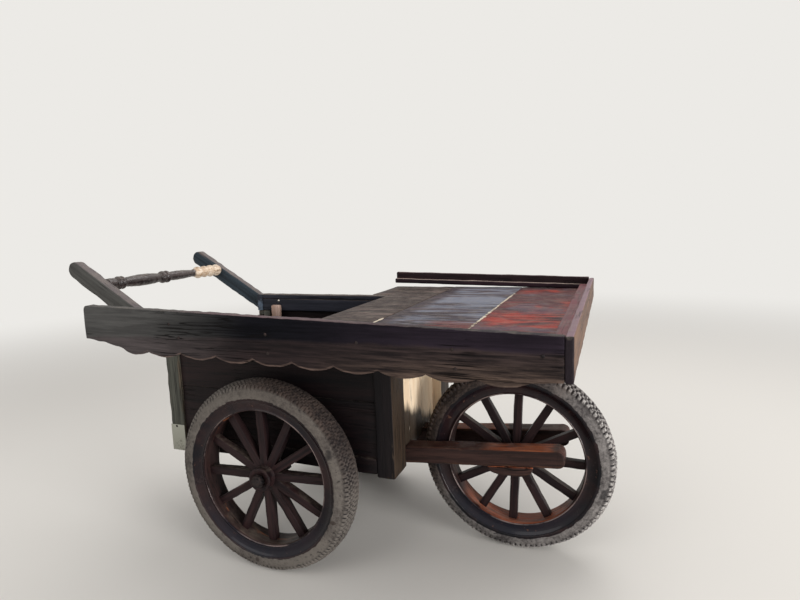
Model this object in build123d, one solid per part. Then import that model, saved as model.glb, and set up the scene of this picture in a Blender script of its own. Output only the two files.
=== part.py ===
from build123d import *
import math
import os

# Three-wheeled street vendor's hand cart: a planked deck with a scalloped side board over a wooden
# box, two spoked wheels beside the box, one in a timber fork ahead of it, and a push handle behind.
# Millimetres. +X runs forward to the fork wheel, +Y to the cart's left side, +Z up from the ground.
# Lengths along the cart are measured forward from the rear axle.

# Wheels
TYRE_OUTER_RADIUS = 305.0
TYRE_WIDTH = 92.0
TYRE_SHOULDER = 9.0
TYRE_DEPTH = 55.0
RIM_WIDTH = 84.0
RIM_DISH = 9.0
FELLOE_WIDTH = 67.0
FELLOE_DEPTH = 28.0
SPOKE_COUNT = 12
SPOKE_WIDTH = 26.0
SPOKE_DEPTH_AT_HUB = 32.0
SPOKE_DEPTH_AT_FELLOE = 24.0
HUB_LENGTH = 96.0
HUB_RADIUS = 36.0
AXLE_RADIUS = 12.5
RUNNING_GAP = 0.05
END_GAP = 0.5
WHEELBASE = 708.0
WHEEL_SIDE_GAP = 13.0
WHEEL_END_GAP = 35.0

# Deck, its frame and the boards round it
DECK_THICKNESS = 18.0
DECK_JOINT_GAP = 1.5
DECK_FRONT = 903.0
WELL_FRONT = 165.0
PANEL_JOINT_1 = 357.0
PANEL_JOINT_2 = 645.0
WING_REAR_RIGHT = 60.0
WING_REAR_LEFT = 90.0
HALF_WIDTH = 580.0
SIDE_REAR = -428.0
SIDE_BOARD_THICKNESS = 28.0
SIDE_RISE_REAR = 77.0
SIDE_RISE_FRONT = 39.0
OGEE_DROP = 20.0
OGEE_LENGTH = 140.0
FIRST_CUSP = -201.0
LOBE_PITCH = 115.0
LOBE_COUNT = 9
LOBE_DEPTH = 13.0
CUSP_DROP_REAR = 47.0
CUSP_DROP_FRONT = 65.0
LEFT_BOARD_REAR = 60.0
LEFT_FIRST_CUSP = 144.0
LEFT_LOBE_COUNT = 6
FRONT_BOARD_THICKNESS = 18.0
FRONT_BOARD_DROP_RIGHT = 60.0
FRONT_BOARD_DROP_LEFT = 38.0
FRONT_STRIP_WIDTH = 34.0
FRONT_STRIP_HEIGHT = 18.0
RAIL_THICKNESS = 18.0
RAIL_HEIGHT = 47.0
RAIL_REAR = 92.0
RAIL_RISE_REAR = 66.0
RAIL_RISE_FRONT = 44.0
RAIL_STRIP_THICKNESS = 20.0
RAIL_STRIP_HEIGHT = 20.0
JOIST_OUTER = 292.0
JOIST_THICKNESS = 42.0
JOIST_DEPTH = 50.0
BEARER_WIDTH = 45.0
BEARER_DEPTH = 36.0
OUTRIGGER_WIDTH = 40.0
CLEAT_REAR = -350.0
CLEAT_LENGTH = 40.0
CLEAT_THICKNESS = 22.0
CLEAT_HEIGHT = 52.0
CLEAT_DROP = 24.0
STRAP_WIDTH = 25.0
STRAP_THICKNESS = 3.0

# Box under the deck
BOX_REAR = -428.0
BOX_HEIGHT = 396.0
POST_LENGTH = 57.0
POST_DROP = 8.0
FRONT_POST_THICKNESS = 100.0
FRONT_PANEL_SETBACK = 7.0
SILL_DEPTH = 50.0
CROSS_RAIL_DEPTH = 32.0
CROSS_RAIL_WIDTH = 50.0
FLOOR_THICKNESS = 18.0
SIDE_PANEL_THICKNESS = 10.0
SIDE_PANEL_INSET = 6.0
END_PANEL_THICKNESS = 16.0
REAR_PANEL_INSET = 10.0
REAR_PANEL_DROP = 16.0
PLATE_HEIGHT = 92.0
PLATE_THICKNESS = 2.0

# Axles and fork
AXLE_BAR = 30.0
AXLE_STUB = 5.0
CLAMP_WIDTH = 40.0
CLAMP_THICKNESS = 5.0
CLAMP_EAR = 30.0
NUT_RADIUS = 20.0
NUT_THICKNESS = 14.0
FORK_SIDE_GAP = 8.0
ARM_THICKNESS = 66.0
ARM_DEPTH = 54.0
ARM_REAR = 50.0
ARM_SEAT = 85.0
ARM_BEYOND_AXLE = 160.0
ARM_NOSE_RADIUS = 20.0
AXLE_BLOCK_LENGTH = 136.0
AXLE_BLOCK_COVER = 16.0
AXLE_BLOCK_ROOF = 1.0

# Handle
HANDLE_REACH = 797.0
HANDLE_RISE = 155.0
HANDLE_ROOT = -403.0
HANDLE_THICKNESS = 36.0
HANDLE_DEPTH = 60.0
CROSSBAR_ALONG = 118.0
CROSSBAR_ABOVE = 12.0

# The origin is under the middle of the cart's length
REAR_AXLE_X = (HANDLE_REACH - WHEELBASE - TYRE_OUTER_RADIUS) / 2

# Heights, stacked up from the axles
AXLE_Z = TYRE_OUTER_RADIUS
SILL_BOTTOM = AXLE_Z + AXLE_BAR / 2
SILL_TOP = SILL_BOTTOM + SILL_DEPTH
POST_BOTTOM = SILL_BOTTOM - POST_DROP
FLOOR_UNDER = SILL_BOTTOM + CROSS_RAIL_DEPTH
FLOOR_TOP = FLOOR_UNDER + FLOOR_THICKNESS
JOIST_UNDER = SILL_BOTTOM + BOX_HEIGHT
DECK_UNDER = JOIST_UNDER + JOIST_DEPTH
DECK_TOP = DECK_UNDER + DECK_THICKNESS

# Places across and along
JOIST_INNER = JOIST_OUTER - JOIST_THICKNESS
BOARD_INNER = HALF_WIDTH - SIDE_BOARD_THICKNESS
POST_INNER_FRONT = JOIST_OUTER - FRONT_POST_THICKNESS
PANEL_OUTER = JOIST_OUTER - SIDE_PANEL_INSET
HALF_TRACK = JOIST_OUTER + WHEEL_SIDE_GAP + TYRE_WIDTH / 2
ARM_INNER = TYRE_WIDTH / 2 + FORK_SIDE_GAP
ARM_OUTER = ARM_INNER + ARM_THICKNESS
ARM_FRONT = WHEELBASE + ARM_BEYOND_AXLE
FRONT_PANEL_FRONT = WHEELBASE - TYRE_OUTER_RADIUS - WHEEL_END_GAP
FRONT_PANEL_REAR = FRONT_PANEL_FRONT - END_PANEL_THICKNESS
FRONT_POST_REAR = FRONT_PANEL_REAR - FRONT_PANEL_SETBACK
REAR_POST_FRONT = BOX_REAR + POST_LENGTH
REAR_PANEL_REAR = BOX_REAR + REAR_PANEL_INSET
REAR_PANEL_FRONT = REAR_PANEL_REAR + END_PANEL_THICKNESS
RIM_RADIUS = TYRE_OUTER_RADIUS - TYRE_DEPTH
FELLOE_OUTER = RIM_RADIUS - RIM_DISH
FELLOE_INNER = FELLOE_OUTER - FELLOE_DEPTH
SIDES = (("right", -1), ("left", 1))

os.makedirs("parts", exist_ok=True)


def block(x0, x1, y0, y1, z0, z1):
    """A squared timber or plate between two corners, with X measured from the rear axle."""
    low = (REAR_AXLE_X + min(x0, x1), min(y0, y1), min(z0, z1))
    size = (abs(x1 - x0), abs(y1 - y0), abs(z1 - z0))
    return Pos(*low) * Box(*size, align=(Align.MIN, Align.MIN, Align.MIN))


def point(x, y, z):
    return (REAR_AXLE_X + x, y, z)


def side_profile(corners, y0, y1):
    """A board cut to an outline of (x, z) corners, between two planes across the cart."""
    outline = Polyline(*[point(x, min(y0, y1), z) for x, z in corners], close=True)
    return extrude(make_face(outline), amount=abs(y1 - y0), dir=(0, 1, 0))


def turned(profile):
    """A ring or shaft turned about the Y axis from (y, radius) corners."""
    outline = Polyline(*[(radius, y, 0) for y, radius in profile], close=True)
    return revolve(make_face(outline), axis=Axis.Y)


def mirrored_profile(half):
    """A whole profile from the (y, radius) corners of its left half, outermost radius last."""
    return half + [(-y, radius) for y, radius in reversed(half)]


def rod(radius, y0, y1, x, z):
    """A round bar along Y."""
    bar = Cylinder(radius, y1 - y0, align=(Align.CENTER, Align.CENTER, Align.MIN))
    return Pos(REAR_AXLE_X + x, y0, z) * Rot(-90, 0, 0) * bar


def on_both_sides(make):
    """The same piece on the right and on the left of the cart, as one node."""
    return Compound(children=[make(side) for name, side in SIDES])


def save(node, shape):
    export_step(shape, f"parts/{node}.step")


# Wheels, each turned about Y at the origin and then set on its axle
def tyre():
    return turned(mirrored_profile([
        (TYRE_WIDTH / 2, RIM_RADIUS), (TYRE_WIDTH / 2, TYRE_OUTER_RADIUS - TYRE_SHOULDER),
        (TYRE_WIDTH / 2 - TYRE_SHOULDER, TYRE_OUTER_RADIUS)]))


def felloe():
    """The wooden ring, with the metal rim round it dished out to the tyre's seat."""
    return turned(mirrored_profile([
        (FELLOE_WIDTH / 2, FELLOE_INNER), (FELLOE_WIDTH / 2, FELLOE_OUTER), (RIM_WIDTH / 2, RIM_RADIUS)]))


def spoked_hub():
    """A hub bored to run on the axle, with its spokes wedged side by side round it."""
    half_angle = math.pi / SPOKE_COUNT
    foot = SPOKE_WIDTH / 2 / math.tan(half_angle)
    end = math.sqrt(FELLOE_INNER ** 2 - (SPOKE_WIDTH / 2) ** 2)
    hub_half = SPOKE_DEPTH_AT_HUB / 2
    felloe_half = SPOKE_DEPTH_AT_FELLOE / 2
    blade = Polyline((0, hub_half, -SPOKE_WIDTH / 2), (foot, hub_half, -SPOKE_WIDTH / 2),
                     (end, felloe_half, -SPOKE_WIDTH / 2), (end, -felloe_half, -SPOKE_WIDTH / 2),
                     (foot, -hub_half, -SPOKE_WIDTH / 2), (0, -hub_half, -SPOKE_WIDTH / 2), close=True)
    feet = RegularPolygon(foot, SPOKE_COUNT, major_radius=False, rotation=math.degrees(half_angle))
    wheel_centre = Rot(90, 0, 0) * extrude(feet, amount=hub_half, both=True)
    for turn in range(SPOKE_COUNT):
        spoke = extrude(make_face(blade), amount=SPOKE_WIDTH, dir=(0, 0, 1))
        wheel_centre += Rot(0, 360 / SPOKE_COUNT * turn, 0) * spoke
    wheel_centre += Rot(90, 0, 0) * Cylinder(HUB_RADIUS, HUB_LENGTH)
    return wheel_centre - Rot(90, 0, 0) * Cylinder(AXLE_RADIUS + RUNNING_GAP, HUB_LENGTH)


# name, distance ahead of the rear axle, distance to the left of the middle
WHEELS = (
    ("front", WHEELBASE, 0.0),
    ("rear_right", 0.0, -HALF_TRACK),
    ("rear_left", 0.0, HALF_TRACK),
)
wheel_pieces = {"tyre": tyre(), "felloe": felloe(), "spoked_hub": spoked_hub()}
for wheel, ahead, left in WHEELS:
    for piece, shape in wheel_pieces.items():
        save(f"{piece}_{wheel}", Pos(REAR_AXLE_X + ahead, left, AXLE_Z) * shape)


# Deck frame: joists, bearers half-lapped over them, outriggers to the side boards
# Rear edges of the full-width bearers
BEARER_REARS = (WELL_FRONT, PANEL_JOINT_1 - BEARER_WIDTH / 2, PANEL_JOINT_2 - BEARER_WIDTH / 2,
                DECK_FRONT - BEARER_WIDTH)
# Side and rear edge of each outrigger beside the well
OUTRIGGERS = (
    (-1, -250.0),
    (-1, -60.0),
    (-1, 90.0),
    (1, 100.0),
)
LAP = BEARER_DEPTH / 2
for name, side in SIDES:
    joist = block(BOX_REAR, DECK_FRONT, side * JOIST_INNER, side * JOIST_OUTER, JOIST_UNDER, DECK_UNDER)
    for rear in BEARER_REARS:
        joist -= block(rear, rear + BEARER_WIDTH, -HALF_WIDTH, HALF_WIDTH, DECK_UNDER - LAP, DECK_UNDER)
    save(f"joist_{name}", joist)

bearers = []
for rear in BEARER_REARS:
    bearer = block(rear, rear + BEARER_WIDTH, -BOARD_INNER, BOARD_INNER, DECK_UNDER - BEARER_DEPTH,
                   DECK_UNDER)
    for name, side in SIDES:
        bearer -= block(rear, rear + BEARER_WIDTH, side * JOIST_INNER, side * JOIST_OUTER,
                        DECK_UNDER - BEARER_DEPTH, DECK_UNDER - LAP)
    bearers.append(bearer)
for side, rear in OUTRIGGERS:
    bearers.append(block(rear, rear + OUTRIGGER_WIDTH, side * BOARD_INNER, side * JOIST_OUTER,
                         DECK_UNDER - BEARER_DEPTH, DECK_UNDER))
save("deck_bearers", Compound(children=bearers))

# Deck panels: name, rear edge, front edge, gap left at the front edge
DECK_PANELS = (
    ("rear", WELL_FRONT, PANEL_JOINT_1, DECK_JOINT_GAP),
    ("middle", PANEL_JOINT_1, PANEL_JOINT_2, DECK_JOINT_GAP),
    ("front", PANEL_JOINT_2, DECK_FRONT, 0.0),
)
for name, rear, front, gap in DECK_PANELS:
    save(f"deck_panel_{name}", block(rear, front - gap, -BOARD_INNER, HALF_WIDTH, DECK_UNDER, DECK_TOP))
right_wing = block(WING_REAR_RIGHT, WELL_FRONT, -BOARD_INNER, -JOIST_OUTER, DECK_UNDER, DECK_TOP)
left_wing = block(WING_REAR_LEFT, WELL_FRONT, JOIST_OUTER, HALF_WIDTH, DECK_UNDER, DECK_TOP)
save("deck_wings", Compound(children=[right_wing, left_wing]))
save("well_edges", on_both_sides(lambda side: block(
    BOX_REAR, WELL_FRONT, side * JOIST_INNER, side * JOIST_OUTER, DECK_UNDER, DECK_TOP)))


# Side boards, the long one scalloped from end to end
def cusp_z(x):
    along = (x - FIRST_CUSP) / (LOBE_PITCH * LOBE_COUNT)
    return DECK_TOP - CUSP_DROP_REAR - (CUSP_DROP_FRONT - CUSP_DROP_REAR) * along


def lobe(rear, front, y):
    """One round lobe of the lower edge, hanging between two cusps."""
    middle = (rear + front) / 2
    return ThreePointArc(point(rear, y, cusp_z(rear)), point(middle, y, cusp_z(middle) - LOBE_DEPTH),
                         point(front, y, cusp_z(front)))


def scalloped(first_cusp, count, y, rear_edge, front_z, top_corners):
    """A board's outer face: its rear edge, lobes between sharp cusps, and the way back over the top."""
    cusps = [first_cusp + turn * LOBE_PITCH for turn in range(count + 1)]
    lobes = [lobe(rear, front, y) for rear, front in zip(cusps, cusps[1:])]
    back = Polyline(point(cusps[-1], y, cusp_z(cusps[-1])), point(DECK_FRONT, y, front_z),
                    *[point(x, y, z) for x, z in top_corners])
    return make_face(rear_edge + lobes + [back])


ogee_end = SIDE_REAR + OGEE_LENGTH
ogee_start_z = DECK_TOP - OGEE_DROP
ogee = Spline(point(SIDE_REAR, -HALF_WIDTH, ogee_start_z), point(ogee_end, -HALF_WIDTH, cusp_z(ogee_end)),
              tangents=((1, 0, -0.1), (1, 0, -0.3)))
right_edge = [ogee, lobe(ogee_end, FIRST_CUSP, -HALF_WIDTH)]
right_top = [(DECK_FRONT, DECK_TOP + SIDE_RISE_FRONT), (SIDE_REAR, DECK_TOP + SIDE_RISE_REAR),
             (SIDE_REAR, ogee_start_z)]
right_face = scalloped(FIRST_CUSP, LOBE_COUNT, -HALF_WIDTH, right_edge, DECK_TOP - FRONT_BOARD_DROP_RIGHT,
                       right_top)
save("side_board_right", extrude(right_face, amount=SIDE_BOARD_THICKNESS, dir=(0, 1, 0)))

left_rear_z = cusp_z(LEFT_BOARD_REAR)
left_edge = [Polyline(point(LEFT_BOARD_REAR, BOARD_INNER, left_rear_z),
                      point(LEFT_FIRST_CUSP, BOARD_INNER, cusp_z(LEFT_FIRST_CUSP)))]
left_top = [(DECK_FRONT, DECK_UNDER), (LEFT_BOARD_REAR, DECK_UNDER), (LEFT_BOARD_REAR, left_rear_z)]
left_face = scalloped(LEFT_FIRST_CUSP, LEFT_LOBE_COUNT, BOARD_INNER, left_edge,
                      DECK_TOP - FRONT_BOARD_DROP_LEFT, left_top)
save("side_board_left", extrude(left_face, amount=SIDE_BOARD_THICKNESS, dir=(0, 1, 0)))

front_corners = (
    (-HALF_WIDTH, DECK_TOP - FRONT_BOARD_DROP_RIGHT),
    (HALF_WIDTH, DECK_TOP - FRONT_BOARD_DROP_LEFT),
    (HALF_WIDTH, DECK_TOP + SIDE_RISE_FRONT),
    (-HALF_WIDTH, DECK_TOP + SIDE_RISE_FRONT),
)
front_face = make_face(Polyline(*[point(DECK_FRONT, y, z) for y, z in front_corners], close=True))
save("front_board", extrude(front_face, amount=FRONT_BOARD_THICKNESS, dir=(1, 0, 0)))

RAIL_INNER = HALF_WIDTH - RAIL_THICKNESS
RAIL_STRIP_INNER = RAIL_INNER - RAIL_STRIP_THICKNESS
save("front_strip", block(DECK_FRONT - FRONT_STRIP_WIDTH, DECK_FRONT, -BOARD_INNER, RAIL_STRIP_INNER,
                          DECK_TOP, DECK_TOP + FRONT_STRIP_HEIGHT))


# Left rail, sprung up at its rear end and lying on the deck's edge at its front
def rail_bar(height, y0, y1):
    under_rear = DECK_TOP + RAIL_RISE_REAR - RAIL_HEIGHT
    under_front = DECK_TOP + RAIL_RISE_FRONT - RAIL_HEIGHT
    bar = side_profile([(RAIL_REAR, under_rear), (DECK_FRONT, under_front),
                        (DECK_FRONT, under_front + height), (RAIL_REAR, under_rear + height)], y0, y1)
    return bar - block(RAIL_REAR, DECK_FRONT, y0, y1, DECK_UNDER, DECK_TOP)


save("rail_left", rail_bar(RAIL_HEIGHT, RAIL_INNER, HALF_WIDTH))
save("rail_strip_left", rail_bar(RAIL_STRIP_HEIGHT, RAIL_STRIP_INNER, RAIL_INNER))

# Box: posts, sills and side panels
save("posts_rear", on_both_sides(lambda side: block(
    BOX_REAR, REAR_POST_FRONT, side * JOIST_INNER, side * JOIST_OUTER, POST_BOTTOM, JOIST_UNDER)))
save("posts_front", on_both_sides(lambda side: block(
    FRONT_POST_REAR, FRONT_POST_REAR + POST_LENGTH, side * POST_INNER_FRONT, side * JOIST_OUTER, POST_BOTTOM,
    JOIST_UNDER)))
save("box_sills", on_both_sides(lambda side: block(
    REAR_POST_FRONT, FRONT_POST_REAR, side * JOIST_INNER, side * JOIST_OUTER, SILL_BOTTOM, SILL_TOP)))
save("box_sides", on_both_sides(lambda side: block(
    REAR_POST_FRONT, FRONT_POST_REAR, side * (PANEL_OUTER - SIDE_PANEL_THICKNESS), side * PANEL_OUTER,
    SILL_TOP, JOIST_UNDER)))


# Fork: two timbers that rise forward from under the box floor to either side of the front wheel
def arm_top(x):
    """Top of the timbers, level with the rails at the seat and just clear of the axle under them."""
    over_axle = AXLE_Z + AXLE_RADIUS + AXLE_BLOCK_ROOF + ARM_DEPTH
    return SILL_BOTTOM + (over_axle - SILL_BOTTOM) * (x - ARM_SEAT) / (WHEELBASE - ARM_SEAT)


def arm_blank(side):
    corners = [(ARM_REAR, arm_top(ARM_REAR) - ARM_DEPTH), (ARM_FRONT, arm_top(ARM_FRONT) - ARM_DEPTH),
               (ARM_FRONT, arm_top(ARM_FRONT)), (ARM_REAR, arm_top(ARM_REAR))]
    return side_profile(corners, side * ARM_INNER, side * ARM_OUTER)


# Rear edges of the cross rails under the floor
CROSS_RAIL_REARS = (REAR_POST_FRONT, -200.0, 60.0)
cross_rails = [block(rear, rear + CROSS_RAIL_WIDTH, -JOIST_INNER, JOIST_INNER, SILL_BOTTOM, FLOOR_UNDER)
               for rear in CROSS_RAIL_REARS]
save("cross_rails", Compound(children=cross_rails))

arms = {name: arm_blank(side) for name, side in SIDES}
fork_rail = block(FRONT_PANEL_REAR - CROSS_RAIL_WIDTH, FRONT_PANEL_REAR, -POST_INNER_FRONT, POST_INNER_FRONT,
                  SILL_BOTTOM, FLOOR_UNDER)
front_panel = block(FRONT_PANEL_REAR, FRONT_PANEL_FRONT, -POST_INNER_FRONT, POST_INNER_FRONT, SILL_BOTTOM,
                    JOIST_UNDER)
for name, side in SIDES:
    fork_rail -= arms[name]
    front_panel -= arms[name]
save("fork_rail", fork_rail)
save("box_front", front_panel)
save("box_rear", block(REAR_PANEL_REAR, REAR_PANEL_FRONT, -JOIST_INNER, JOIST_INNER, FLOOR_UNDER,
                       JOIST_UNDER - REAR_PANEL_DROP))
floor = block(REAR_PANEL_FRONT, FRONT_POST_REAR, -JOIST_INNER, JOIST_INNER, FLOOR_UNDER, FLOOR_TOP)
floor += block(FRONT_POST_REAR, FRONT_PANEL_REAR, -POST_INNER_FRONT, POST_INNER_FRONT, FLOOR_UNDER,
               FLOOR_TOP)
save("box_floor", floor)

# Each arm is cut round the rails, rounded at its nose, and has a block under it that holds the axle
axle_hole = rod(AXLE_RADIUS, -ARM_OUTER, ARM_OUTER, WHEELBASE, AXLE_Z)
block_rear = WHEELBASE - AXLE_BLOCK_LENGTH / 2
block_front = WHEELBASE + AXLE_BLOCK_LENGTH / 2
axle_blocks = []
for name, side in SIDES:
    nose = arms[name].edges().filter_by(Axis.Y).group_by(Axis.X)[-1]
    save(f"fork_arm_{name}", fillet(nose, ARM_NOSE_RADIUS) - cross_rails - axle_hole)
    axle_block = side_profile([
        (block_rear, AXLE_Z - AXLE_BLOCK_COVER), (block_front, AXLE_Z - AXLE_BLOCK_COVER),
        (block_front, arm_top(block_front) - ARM_DEPTH), (block_rear, arm_top(block_rear) - ARM_DEPTH)],
        side * ARM_INNER, side * ARM_OUTER)
    axle_blocks.append(axle_block - axle_hole)
save("axle_blocks", Compound(children=axle_blocks))

# Axles with their nuts, and the clamps that hold the rear axle under the sills
save("axle_front", rod(AXLE_RADIUS, -ARM_OUTER, ARM_OUTER, WHEELBASE, AXLE_Z))
shoulder = HALF_TRACK - HUB_LENGTH / 2 - END_GAP
nut_start = HALF_TRACK + HUB_LENGTH / 2 + END_GAP
journal_end = nut_start + NUT_THICKNESS + AXLE_STUB
half_bar = AXLE_BAR / 2
axle_rear = block(-half_bar, half_bar, -shoulder, shoulder, AXLE_Z - half_bar, AXLE_Z + half_bar)
axle_rear += rod(AXLE_RADIUS, -journal_end, journal_end, 0.0, AXLE_Z)
save("axle_rear", axle_rear)

nut_blank = extrude(RegularPolygon(NUT_RADIUS, 6), amount=NUT_THICKNESS)
nut_blank -= Cylinder(AXLE_RADIUS, 3 * NUT_THICKNESS)
save("axle_nuts", Compound(children=[
    Pos(REAR_AXLE_X, side * nut_start, AXLE_Z) * Rot(-side * 90, 0, 0) * nut_blank for name, side in SIDES]))

clamp_outside = half_bar + CLAMP_THICKNESS


def clamp(side):
    y0 = side * (JOIST_INNER + JOIST_OUTER) / 2 - CLAMP_WIDTH / 2
    y1 = y0 + CLAMP_WIDTH
    strap = block(-clamp_outside, clamp_outside, y0, y1, AXLE_Z - clamp_outside, SILL_BOTTOM)
    strap += block(-clamp_outside - CLAMP_EAR, clamp_outside + CLAMP_EAR, y0, y1,
                   SILL_BOTTOM - CLAMP_THICKNESS, SILL_BOTTOM)
    return strap - block(-half_bar, half_bar, y0, y1, AXLE_Z - half_bar, SILL_BOTTOM)


save("axle_clamps", on_both_sides(clamp))

# Small fittings on the box and the joist
save("post_plate", block(BOX_REAR, REAR_POST_FRONT, -JOIST_OUTER - PLATE_THICKNESS, -JOIST_OUTER,
                         POST_BOTTOM, POST_BOTTOM + PLATE_HEIGHT))
save("joist_strap", block(BOX_REAR, BOX_REAR + STRAP_WIDTH, JOIST_INNER - STRAP_THICKNESS, JOIST_INNER,
                          JOIST_UNDER, DECK_TOP))
save("joist_cleat", block(CLEAT_REAR, CLEAT_REAR + CLEAT_LENGTH, JOIST_INNER - CLEAT_THICKNESS, JOIST_INNER,
                          DECK_UNDER - CLEAT_DROP - CLEAT_HEIGHT, DECK_UNDER - CLEAT_DROP))

# Handle: two plank arms with round tips on the joists' outer faces, and a turned crossbar between them
tip_x = -HANDLE_REACH + HANDLE_DEPTH / 2
tip_z = DECK_TOP + HANDLE_RISE
slope = math.atan2(tip_z - JOIST_UNDER, HANDLE_ROOT - tip_x)
plank_length = math.hypot(tip_z - JOIST_UNDER, HANDLE_ROOT - tip_x) + HANDLE_DEPTH


def on_handle(along, above):
    """Place of a point of the handle, along the arms from their round tips and above their middle line."""
    return (tip_x + along * math.cos(slope) + above * math.sin(slope),
            tip_z - along * math.sin(slope) + above * math.cos(slope))


for name, side in SIDES:
    y0 = min(side * JOIST_OUTER, side * (JOIST_OUTER + HANDLE_THICKNESS))
    plank = Pos(REAR_AXLE_X + tip_x, y0, tip_z) * Rot(0, math.degrees(slope), 0) * Box(
        plank_length, HANDLE_THICKNESS, HANDLE_DEPTH, align=(Align.MIN, Align.MIN, Align.CENTER))
    plank += rod(HANDLE_DEPTH / 2, y0, y0 + HANDLE_THICKNESS, tip_x, tip_z)
    plank -= block(-HANDLE_REACH, DECK_FRONT, -HALF_WIDTH, HALF_WIDTH, 0.0, JOIST_UNDER)
    save(f"handle_arm_{name}", plank)

# Crossbar turning, from the right arm to the left one: where each plain length ends, its radius
CROSSBAR_TURNING = (
    (-258.0, 18.0),
    (-248.0, 13.0),
    (-232.0, 20.0),
    (-80.0, 18.0),
    (-68.0, 13.0),
    (-50.0, 20.0),
    (JOIST_OUTER, 17.0),
)
bar_x, bar_z = on_handle(CROSSBAR_ALONG, CROSSBAR_ABOVE)
bar_profile = [(-JOIST_OUTER, 0.0)]
for length_end, radius in CROSSBAR_TURNING:
    bar_profile += [(bar_profile[-1][0], radius), (length_end, radius)]
save("crossbar", Pos(REAR_AXLE_X + bar_x, 0, bar_z) * turned(bar_profile + [(JOIST_OUTER, 0.0)]))
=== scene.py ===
import math

import bpy
import numpy as np
from mathutils import Matrix, Vector


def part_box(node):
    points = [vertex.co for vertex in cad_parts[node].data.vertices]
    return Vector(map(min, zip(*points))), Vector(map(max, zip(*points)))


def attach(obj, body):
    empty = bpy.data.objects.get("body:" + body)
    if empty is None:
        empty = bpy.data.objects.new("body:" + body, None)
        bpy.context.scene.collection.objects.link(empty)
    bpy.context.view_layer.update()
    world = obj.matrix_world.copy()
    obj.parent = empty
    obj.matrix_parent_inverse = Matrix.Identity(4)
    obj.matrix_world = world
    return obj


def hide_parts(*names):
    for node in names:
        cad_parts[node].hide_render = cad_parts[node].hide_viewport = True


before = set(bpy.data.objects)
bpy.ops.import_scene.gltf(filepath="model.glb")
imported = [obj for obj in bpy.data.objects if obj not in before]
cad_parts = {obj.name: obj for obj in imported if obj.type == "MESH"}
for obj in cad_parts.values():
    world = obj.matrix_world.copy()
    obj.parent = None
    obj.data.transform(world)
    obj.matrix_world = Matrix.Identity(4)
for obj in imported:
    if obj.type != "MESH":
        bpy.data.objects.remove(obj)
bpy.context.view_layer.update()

# Camera, a little over a metre up and to the right of the cart's front wheel. It looks back across the
# cart, from as far off and as tipped as in the photograph.
CAMERA_PLACE = (0.884, -1.707, 1.058)
CAMERA_YAW = math.radians(21.37)
CAMERA_PITCH = math.radians(7.81)
CAMERA_ROLL = math.radians(2.11)
CAMERA_LENS = 24.75

camera = bpy.data.objects.new("camera", bpy.data.cameras.new("camera"))
camera.data.lens = CAMERA_LENS
camera.matrix_world = (
    Matrix.Translation(CAMERA_PLACE)
    @ Matrix.Rotation(CAMERA_YAW, 4, "Z")
    @ Matrix.Rotation(math.pi / 2 - CAMERA_PITCH, 4, "X")
    @ Matrix.Rotation(-CAMERA_ROLL, 4, "Z")
)
bpy.context.scene.collection.objects.link(camera)
bpy.context.scene.camera = camera
bpy.context.scene.view_settings.view_transform = "Standard"


# Studio: a pale floor that fades into a pale surround, an even sky light and three large soft lamps. The
# strongest stands low and far off ahead of the cart, and two weak ones are beside it and above it.
def rgb(red, green, blue):
    """A colour from its 0 to 255 display values, as linear light."""
    display = np.array([red, green, blue]) / 255
    linear = np.where(display <= 0.04045, display / 12.92, ((display + 0.055) / 1.055) ** 2.4)
    return (*linear.tolist(), 1.0)


class Shade:
    """A socket in a node tree. Sums and products of shades add the Math nodes that work them out."""

    def __init__(self, tree, socket=None):
        self.tree = tree
        self.socket = socket

    def node(self, kind, settings=None, inputs=None, output=0):
        """Adds a node of any kind: first its settings, then the values or links of its sockets."""
        made = self.tree.nodes.new(kind)
        for key, value in (settings or {}).items():
            setattr(made, key, value)
        for key, value in (inputs or {}).items():
            if isinstance(value, Shade):
                self.tree.links.new(value.socket, made.inputs[key])
            else:
                made.inputs[key].default_value = value
        return Shade(self.tree, made.outputs[output] if made.outputs else None)

    def math(self, operation, *values):
        return self.node("ShaderNodeMath", {"operation": operation}, dict(enumerate(values)))

    def __add__(self, other):
        return self.math("ADD", self, other)

    def __radd__(self, other):
        return self.math("ADD", other, self)

    def __sub__(self, other):
        return self.math("SUBTRACT", self, other)

    def __rsub__(self, other):
        return self.math("SUBTRACT", other, self)

    def __mul__(self, other):
        return self.math("MULTIPLY", self, other)

    def __rmul__(self, other):
        return self.math("MULTIPLY", other, self)

    def above(self, low, high):
        """0 where this value is under low, 1 where it is over high, and smooth between them."""
        return self.node("ShaderNodeMapRange", {"interpolation_type": "SMOOTHSTEP"},
                         {"Value": self, "From Min": low, "From Max": high})

    def between(self, low, high):
        """The colour that goes from low to high as this value goes from 0 to 1."""
        return self.node("ShaderNodeMix", {"data_type": "RGBA"}, {0: self, 6: low, 7: high}, 2)

    def stretched(self, factors):
        return self.node("ShaderNodeVectorMath", {"operation": "MULTIPLY"}, {0: self, 1: factors})

    def part(self, axis):
        return self.node("ShaderNodeSeparateXYZ", None, {0: self}, axis)

    def distance_from(self, number):
        """How far this value is from a number, either way."""
        away = self - number if number else self
        return away.math("ABSOLUTE", away)

    def place(self):
        """Object coordinates, which are metres in the cart's own frame."""
        return self.node("ShaderNodeTexCoord", None, None, "Object")

    def number(self, name):
        """A number that the mesh carries at each of its points."""
        return self.node("ShaderNodeAttribute", {"attribute_name": name}, None, "Fac")

    def vector(self, name):
        """A vector that the mesh carries at each of its points."""
        return self.node("ShaderNodeAttribute", {"attribute_name": name}, None, "Vector")

    def noise(self, scale, detail=4.0, roughness=0.55, distortion=0.0):
        return self.node("ShaderNodeTexNoise", None, {
            "Vector": self, "Scale": scale, "Detail": detail, "Roughness": roughness,
            "Distortion": distortion})


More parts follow.
